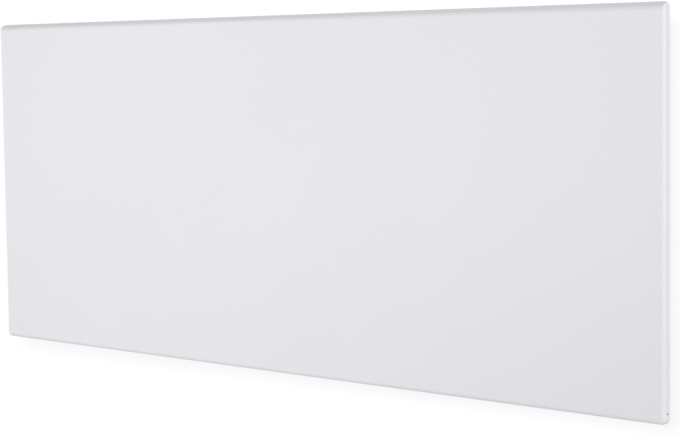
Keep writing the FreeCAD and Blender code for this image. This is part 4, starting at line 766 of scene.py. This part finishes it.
class HEATER_PG_studio(bpy.types.PropertyGroup):
    camera_place: FloatVectorProperty(name="Camera", default=(1.5024, -1.5925, 0.1491), unit="LENGTH",
                                      subtype="TRANSLATION", description="Where the camera stands")
    yaw: FloatProperty(name="Yaw", default=math.radians(42.63051), unit="ROTATION",
                       description="Camera turn to the left of straight ahead")
    pitch: FloatProperty(name="Pitch", default=math.radians(-4.63762), unit="ROTATION",
                         description="Camera tilt, negative looks down")
    roll: FloatProperty(name="Roll", default=math.radians(-0.80622), unit="ROTATION",
                        description="Camera roll")
    lens: FloatProperty(name="Lens", default=102.561, unit="CAMERA",
                        description="Focal length in millimetres")
    sky: FloatProperty(name="Sky", default=0.50, description="Strength of the light from all round")
    backdrop: FloatProperty(name="Backdrop", default=0.9,
                            description="Brightness of the sky that the camera sees")
    left_light: FloatProperty(name="Left", default=11.2, description="Power of the soft light at the left")
    front_light: FloatProperty(name="Front", default=6.45, description="Power of the soft light in front")
    right_light: FloatProperty(name="Right", default=28.4,
                               description="Power of the soft light at the right")
    low_light: FloatProperty(name="Low", default=2.5, description="Power of the faint light from below")
    high_light: FloatProperty(name="High", default=0.5,
                              description="Power of the faint light over the right end")
    rear_light: FloatProperty(name="Rear", default=20.0, description="Power of the soft light behind")
    rear_gleam: FloatProperty(name="Gleam", default=16.0,
                              description="Power of the light behind that metal also mirrors")
    wall_light: FloatProperty(name="Wall", default=300.0,
                              description="Power of the light that falls on the wall alone")


# Operators


class HEATER_OT_front_panel(bpy.types.Operator):
    """Folded front panel with softly rounded edges, a sloped top shoulder and a lip behind"""

    bl_idname = "heater.front_panel"
    bl_label = "Front Panel"

    def execute(self, context):
        size = context.scene.heater_panel
        mesh = bmesh.new()
        outer = self.skin(mesh, size, 0.0)
        inner = self.skin(mesh, size, size.sheet)
        mouth = outline(COVER_HIGH.x - LIP_REACH.x, COVER_HIGH.z - LIP_REACH.y, LIP_CORNER, size)
        rim = ring_of(mesh, mouth, lambda lift: PANEL_HIGH.y)
        rim_inside = ring_of(mesh, mouth, lambda lift: PANEL_HIGH.y - size.sheet)
        bridge(mesh, outer, rim)
        bridge(mesh, rim, rim_inside)
        bridge(mesh, rim_inside, inner)
        colour = context.scene.heater_colours.panel
        material = powder_coat("panel_paint", colour, gloss=0.34, peel=0.000012)
        piece = finish_mesh(mesh, "front_panel_skin", "heater", material)
        drill(piece, [((way * PANEL_HIGH.x, *size.hole_place), size.hole_radius) for way in (-1, 1)])
        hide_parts("front_panel")
        return {"FINISHED"}

    def skin(self, mesh, size, inset):
        """Face, front edge, side and back bend of one skin of the sheet; gives its last ring."""
        front = PANEL_LOW.y + inset
        back = PANEL_HIGH.y - inset
        back_round = size.return_radius - inset
        sections = list(zip(quarter(size.edge_radius - inset, 2 * size.bend_steps), shoulder(size, inset)))
        rings = [self.ring(mesh, size, inset + EDGE_GUARD, front, *sections[0])]
        mesh.faces.new(rings[0])
        rings += [self.ring(mesh, size, inset, front, *pair) for pair in sections]
        for inward, left in [(0.0, back_round + EDGE_GUARD), *turned_in(back_round, size.bend_steps)]:
            turn = (inward, -left)
            rings.append(self.ring(mesh, size, inset, back, turn, turn))
        for ring, after in zip(rings, rings[1:]):
            bridge(mesh, ring, after)
        return rings[-1]

    def ring(self, mesh, size, inset, base, side, top):
        """Ring from an inset and a base, with its (inward, depth) at the sides and at the top"""
        drawn = (inset + side[0], inset + top[0])
        rows = outline(PANEL_HIGH.x, PANEL_HIGH.z, size.corner_radius, size, drawn)
        return ring_of(mesh, rows, lambda lift: base + side[1] + (top[1] - side[1]) * lift)


class HEATER_OT_casing(bpy.types.Operator):
    """Rear cover, grilles, stiffeners, shield, screws and wall buffers"""

    bl_idname = "heater.casing"
    bl_label = "Casing"

    def execute(self, context):
        colours = context.scene.heater_colours
        cover = powder_coat("cover_paint", colours.cover, gloss=0.42, peel=0.000018)
        rounded("rear_cover", cover, COVER_EDGE, self.beads())
        grille = powder_coat("grille_paint", colours.grille, gloss=0.4, peel=0.000014)
        for node in ("outlet_grille", "inlet_grille"):
            rounded(node, grille, GRILLE_EDGE)
        dress(galvanised("galvanised_steel", colours.zinc, spangle=0.005, roughness=0.38),
              "panel_stiffener_upper", "panel_stiffener_lower", "heat_shield", "element_bracket_left",
              "element_bracket_right", "cutout_bracket")
        dress(plated("zinc_screws", (0.68, 0.69, 0.70), roughness=0.24), "cover_screws", "chassis_screws",
              "fascia_screws")
        buffer = rubber("buffer_rubber", (0.045, 0.045, 0.047))
        rounded("wall_buffers", buffer, BUFFER_EDGE)
        return {"FINISHED"}

    def beads(self):
        """Tests and radii of the pressed beads behind the rear cover, at their crowns and at their feet."""
        def crown(edge):
            return lies_at(edge, COVER_HIGH.y)

        def foot(edge):
            return lies_at(edge, COVER_HIGH.y - BEAD_RISE) and not edge.is_convex
        return (crown, BEAD_CROWN), (foot, BEAD_FOOT)


class HEATER_OT_element(bpy.types.Operator):
    """Finned heating element with its rod, bushes, terminals and cut-out"""

    bl_idname = "heater.element"
    bl_label = "Heating Element"

    def execute(self, context):
        dress(rolled_metal("fin_aluminium", (0.80, 0.81, 0.82), roughness=0.26, along=X), "element_fins")
        dress(scaled_rod("rod_steel", (0.36, 0.34, 0.33), tint=(0.30, 0.22, 0.16)), "element_rod")
        dress(fired("ceramic", (0.80, 0.77, 0.70), speck=(0.45, 0.38, 0.30)), "element_bushes")
        dress(plated("terminal_brass", (0.78, 0.60, 0.30), roughness=0.26), "element_terminals",
              "earth_stud", "terminal_screws")
        dress(mottled("phenolic", (0.030, 0.022, 0.018), fleck=(0.09, 0.055, 0.035)), "thermal_cutout")
        return {"FINISHED"}


class HEATER_OT_controls(bpy.types.Operator):
    """Fascia, buttons, rocker, display and the board below them"""

    bl_idname = "heater.controls"
    bl_label = "Controls"

    def execute(self, context):
        white = context.scene.heater_colours.plastic
        fascia = moulded("fascia_plastic", white, roughness=0.34, spark=0.0006)
        black = moulded("switch_black", (0.022, 0.022, 0.024), roughness=0.36, spark=0.0006, weave=0.2)
        pressed = moulded("rocker_plastic", (0.035, 0.035, 0.038), roughness=0.26, spark=0.0005, weave=0.15)
        smoke = smoked("window_smoke", (0.42, 0.43, 0.45))
        green = lens("light_lens", (0.10, 0.62, 0.16), glow=0.35)
        rounded("control_fascia", fascia, FASCIA_EDGE)
        rounded("rocker_frame", black, FRAME_EDGE)
        rounded("rocker", pressed, ROCKER_EDGE)
        rounded("display_window", smoke, WINDOW_EDGE)
        rounded("indicator_light", green, LIGHT_EDGE)
        dress(moulded("housing_plastic", (0.52, 0.53, 0.55), roughness=0.42, spark=0.0008),
              "control_housing")
        dress(moulded("button_plastic", (0.60, 0.61, 0.63), roughness=0.3, spark=0.0005), "button_minus",
              "button_plus", "button_mode")
        dress(black, "tact_switches", "relay")
        dress(moulded("display_black", (0.012, 0.012, 0.014), roughness=0.2, spark=0.0006, weave=0.2),
              "display_module")
        dress(solder_mask("board", (0.02, 0.16, 0.07), copper=(0.05, 0.30, 0.14)), "control_board")
        self.signs(black, fascia)
        self.figures()
        return {"FINISHED"}

    def signs(self, dark, light):
        """Filled signs on the buttons, and the on and off marks of the rocker"""
        arm, half = SIGN_ARM, SIGN_HALF_WIDTH
        dash = bar((-arm, 0.0), (arm, 0.0), half, 0.0)
        dot = bar((-half, 0.0), (half, 0.0), half, 0.0)
        shapes = {"button_minus": dash, "button_plus": cross(arm, half), "button_mode": dot}
        for node, shape in shapes.items():
            inlay(f"{node}_sign", node, dark, [shape], SIGN_RISE, SIGN_DEPTH)
        on = bar((ROCKER_MARK_X, -ROCKER_MARK_RADIUS), (ROCKER_MARK_X, ROCKER_MARK_RADIUS), half, 0.0)
        off = hoop((-ROCKER_MARK_X, 0.0), ROCKER_MARK_RADIUS, half)
        inlay("rocker_marks", "rocker", light, [on, *off], ROCKER_MARK_RISE, MARK_DEPTH)

    def figures(self):
        """Two seven-bar figures and a degree ring under the window, with the bars at rest left dark"""
        lit, resting = [], []
        for number, figure in enumerate(SHOWN_FIGURES):
            middle = Vector((FIGURE_PITCH * (number - 0.5), 0.0))
            for name, ends in FIGURE_BARS.items():
                start, end = (middle + FIGURE_HALF * Vector(place) for place in ends)
                first, last = start.lerp(end, FIGURE_GAP), end.lerp(start, FIGURE_GAP)
                shape = bar(first, last, FIGURE_STROKE, FIGURE_STROKE)
                (lit if name in FIGURE_SHAPES[figure] else resting).append(shape)
        degree = (1.5 * FIGURE_PITCH, FIGURE_HALF.y - DEGREE_RADIUS)
        lit += hoop(degree, DEGREE_RADIUS, 0.5 * FIGURE_STROKE)
        bright = lens("figure_glow", (0.86, 0.93, 1.0), glow=5.0)
        dim = moulded("figure_dim", (0.030, 0.031, 0.034), roughness=0.3, spark=0.0006)
        inlay("display_figures", "display_module", bright, lit, FIGURE_RISE, MARK_DEPTH)
        inlay("display_figures_dark", "display_module", dim, resting, FIGURE_RISE,
              MARK_DEPTH)


class HEATER_OT_wiring(bpy.types.Operator):
    """Terminal block, connectors, clips, sensor, gland and leads"""

    bl_idname = "heater.wiring"
    bl_label = "Wiring"

    def execute(self, context):
        dress(moulded("connector_nylon", (0.74, 0.72, 0.64), roughness=0.38, spark=0.0008),
              "board_connector", "terminal_block", "sensor_clip", "lead_clips", "lead_comb")
        nylon = moulded("gland_nylon", (0.58, 0.59, 0.61), roughness=0.4, spark=0.0007)
        rounded("cable_gland", nylon, GLAND_EDGE)
        dress(nylon, "gland_nut")
        dress(mottled("sensor_epoxy", (0.02, 0.02, 0.022), fleck=(0.05, 0.05, 0.055)), "room_sensor")
        dress(sleeve("lead_brown", (0.16, 0.065, 0.03)), "lead_live", "lead_output", "lead_limited")
        dress(sleeve("lead_blue", (0.03, 0.12, 0.42)), "lead_neutral", "lead_return")
        dress(sleeve("lead_earth", (0.05, 0.30, 0.07), stripe=(0.75, 0.62, 0.05)), "lead_earth")
        dress(sleeve("lead_grey", (0.38, 0.39, 0.40)), "lead_sensor")
        return {"FINISHED"}


class HEATER_OT_bracket(bpy.types.Operator):
    """Wall bracket with its rivets and quarter-turn locks"""

    bl_idname = "heater.bracket"
    bl_label = "Wall Bracket"

    def execute(self, context):
        zinc = context.scene.heater_colours.zinc
        steel = galvanised("bracket_steel", shade(zinc, 1.02), spangle=0.006, roughness=0.36)
        lever = moulded("lock_plastic", (0.62, 0.63, 0.65), roughness=0.36, spark=0.0007)
        for side in ("left", "right"):
            node = f"bracket_upright_{side}"
            folds = self.folds(Z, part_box(node)[1].y, -BRACKET_SHEET)
            rounded(node, steel, BRACKET_EDGE, folds, Z, UPRIGHT_HOLES)
            rounded(f"lock_lever_{side}", lever, LEVER_EDGE)
            self.grips(side, lever)
        folds = self.folds(X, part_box("bracket_crossbar")[0].y, BRACKET_SHEET)
        rounded("bracket_crossbar", steel, BRACKET_EDGE, folds, X)
        aluminium = rolled_metal("rivet_aluminium", (0.78, 0.79, 0.80), roughness=0.3, along=Z)
        rounded("bracket_rivets", aluminium, RIVET_EDGE)
        dress(plated("lock_steel", (0.64, 0.65, 0.66), roughness=0.3), "lock_cam_left", "lock_cam_right",
              "lock_clip_left", "lock_clip_right")
        return {"FINISHED"}

    def folds(self, axis, face, sheet):
        """Tests and radii of the long bends of a folded sheet along an axis, outside and inside."""
        def at(depth):
            return lambda edge: runs_along(edge, axis) and lies_at(edge, depth)
        return (at(face), BRACKET_FOLD), (at(face + sheet), BRACKET_FOLD - abs(sheet))

    def grips(self, side, material):
        """Low ribs across the tail of a lock's lever"""
        node = f"lock_lever_{side}"
        low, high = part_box(node)
        tree = surface_of(node)
        mesh = bmesh.new()
        for number in range(GRIP_COUNT):
            behind = Vector(((low.x + high.x) / 2, high.y, low.z + GRIP_RISE + GRIP_PITCH * number))
            place = tree.ray_cast(behind, Vector((0.0, -1.0, 0.0)))[0]
            size = Matrix.Diagonal((*GRIP_HALF, 1.0))
            bmesh.ops.create_uvsphere(mesh, u_segments=2 * GRIP_STEPS, v_segments=GRIP_STEPS, radius=1.0,
                                      matrix=Matrix.Translation(place) @ size)
        finish_mesh(mesh, f"lock_grip_{side}", body_of(node), material)


class HEATER_OT_studio(bpy.types.Operator):
    """Wall, floor, soft lights and camera"""

    bl_idname = "heater.studio"
    bl_label = "Studio"

    def execute(self, context):
        scene = context.scene
        studio = scene.heater_studio
        upright = (math.radians(90), 0.0, 0.0)
        wall_place = (0.0, WALL_BACK, WALL_SIZE[1] / 2 - FLOOR_DROP)
        wall = self.sheet("studio_wall", wall_place, upright, WALL_SIZE,
                          backdrop("studio_wall", WALL_TONE, WALL_CLOUD, WALL_GLOW))
        floor = self.sheet("studio_floor", (0.0, 0.0, -FLOOR_DROP), MIDDLE, FLOOR_SIZE,
                           backdrop("studio_floor", FLOOR_TONE, FLOOR_CLOUD, FLOOR_GLOW))
        heater = self.lit("heater_lit", (wall, floor), "EXCLUDE")
        alone = {"wall_light": self.lit("wall_lit", (wall,), "INCLUDE")}
        for name, (place, aim, size) in LAMPS.items():
            self.lamp(name, place, aim, size, getattr(studio, name), alone.get(name, heater))
        scene.world = studio_sky("studio_sky", studio.sky, studio.backdrop)
        scene.view_settings.view_transform = "Standard"
        scene.view_settings.look = "None"
        scene.camera = self.camera(scene, studio)
        return {"FINISHED"}

    def camera(self, scene, studio):
        """Camera that stands and looks as the photograph's did"""
        data = bpy.data.cameras.new("photo_camera")
        data.sensor_fit = "HORIZONTAL"
        data.sensor_width = SENSOR_WIDTH
        data.lens = studio.lens
        camera = bpy.data.objects.new("photo_camera", data)
        ahead = Vector((-math.sin(studio.yaw) * math.cos(studio.pitch),
                        math.cos(studio.yaw) * math.cos(studio.pitch), math.sin(studio.pitch)))
        level = Vector((math.cos(studio.yaw), math.sin(studio.yaw), 0.0))
        over = level.cross(ahead)
        right = math.cos(studio.roll) * level + math.sin(studio.roll) * over
        up = math.cos(studio.roll) * over - math.sin(studio.roll) * level
        turn = Matrix((right, up, -ahead)).transposed().to_4x4()
        camera.matrix_world = Matrix.Translation(studio.camera_place) @ turn
        scene.collection.objects.link(camera)
        return camera

    def sheet(self, name, place, turn, size, material):
        """Flat studio surface that only the camera sees"""
        mesh = bmesh.new()
        bmesh.ops.create_grid(mesh, x_segments=SHEET_STEPS, y_segments=SHEET_STEPS, size=0.5)
        bmesh.ops.scale(mesh, vec=(size[0], size[1], 1.0), verts=mesh.verts)
        data = bpy.data.meshes.new(name)
        mesh.to_mesh(data)
        mesh.free()
        data.materials.append(material)
        piece = bpy.data.objects.new(name, data)
        piece.location = place
        piece.rotation_euler = turn
        piece.visible_diffuse = False
        piece.visible_glossy = False
        piece.visible_transmission = False
        piece.visible_shadow = False
        bpy.context.scene.collection.objects.link(piece)
        return piece

    def lit(self, name, pieces, state):
        """Group of pieces that a lamp alone lights or that it leaves out"""
        group = bpy.data.collections.new(name)
        for piece in pieces:
            group.objects.link(piece)
        for entry in group.collection_objects:
            entry.light_linking.link_state = state
        return group

    def lamp(self, name, place, aim, size, power, group):
        """Soft square lamp that lights as its group says"""
        data = bpy.data.lights.new(name, "AREA")
        data.size = size
        data.energy = power
        lamp = bpy.data.objects.new(name, data)
        lamp.location = place
        lamp.rotation_euler = (Vector(aim) - Vector(place)).to_track_quat("-Z", "Y").to_euler()
        lamp.visible_camera = False
        lamp.visible_glossy = name not in UNMIRRORED_LAMPS
        lamp.light_linking.receiver_collection = group
        bpy.context.scene.collection.objects.link(lamp)


class HEATER_PT_pieces(bpy.types.Panel):
    """Pieces of the heater and its studio"""

    bl_idname = "HEATER_PT_pieces"
    bl_label = "Wall Convector Heater"
    bl_space_type = "VIEW_3D"
    bl_region_type = "UI"
    bl_category = "Heater"

    def draw(self, context):
        for group in GROUPS:
            box = self.layout.box()
            settings = getattr(context.scene, group)
            for name in settings.bl_rna.properties.keys():
                if name not in ("rna_type", "name"):
                    box.prop(settings, name)
        for operator in OPERATORS:
            self.layout.operator(operator.bl_idname)


GROUPS = {
    "heater_panel": HEATER_PG_panel,
    "heater_colours": HEATER_PG_colours,
    "heater_studio": HEATER_PG_studio,
}
OPERATORS = (
    HEATER_OT_front_panel,
    HEATER_OT_casing,
    HEATER_OT_element,
    HEATER_OT_controls,
    HEATER_OT_wiring,
    HEATER_OT_bracket,
    HEATER_OT_studio,
)
CLASSES = (*GROUPS.values(), *OPERATORS, HEATER_PT_pieces)


def register():
    for cls in CLASSES:
        bpy.utils.register_class(cls)
    for name, group in GROUPS.items():
        setattr(bpy.types.Scene, name, PointerProperty(type=group))


def unregister():
    for name in GROUPS:
        delattr(bpy.types.Scene, name)
    for cls in reversed(CLASSES):
        bpy.utils.unregister_class(cls)


def main():
    register()
    bpy.ops.heater.front_panel()
    bpy.ops.heater.casing()
    bpy.ops.heater.element()
    bpy.ops.heater.controls()
    bpy.ops.heater.wiring()
    bpy.ops.heater.bracket()
    bpy.ops.heater.studio()


if __name__ == "__main__":
    main()
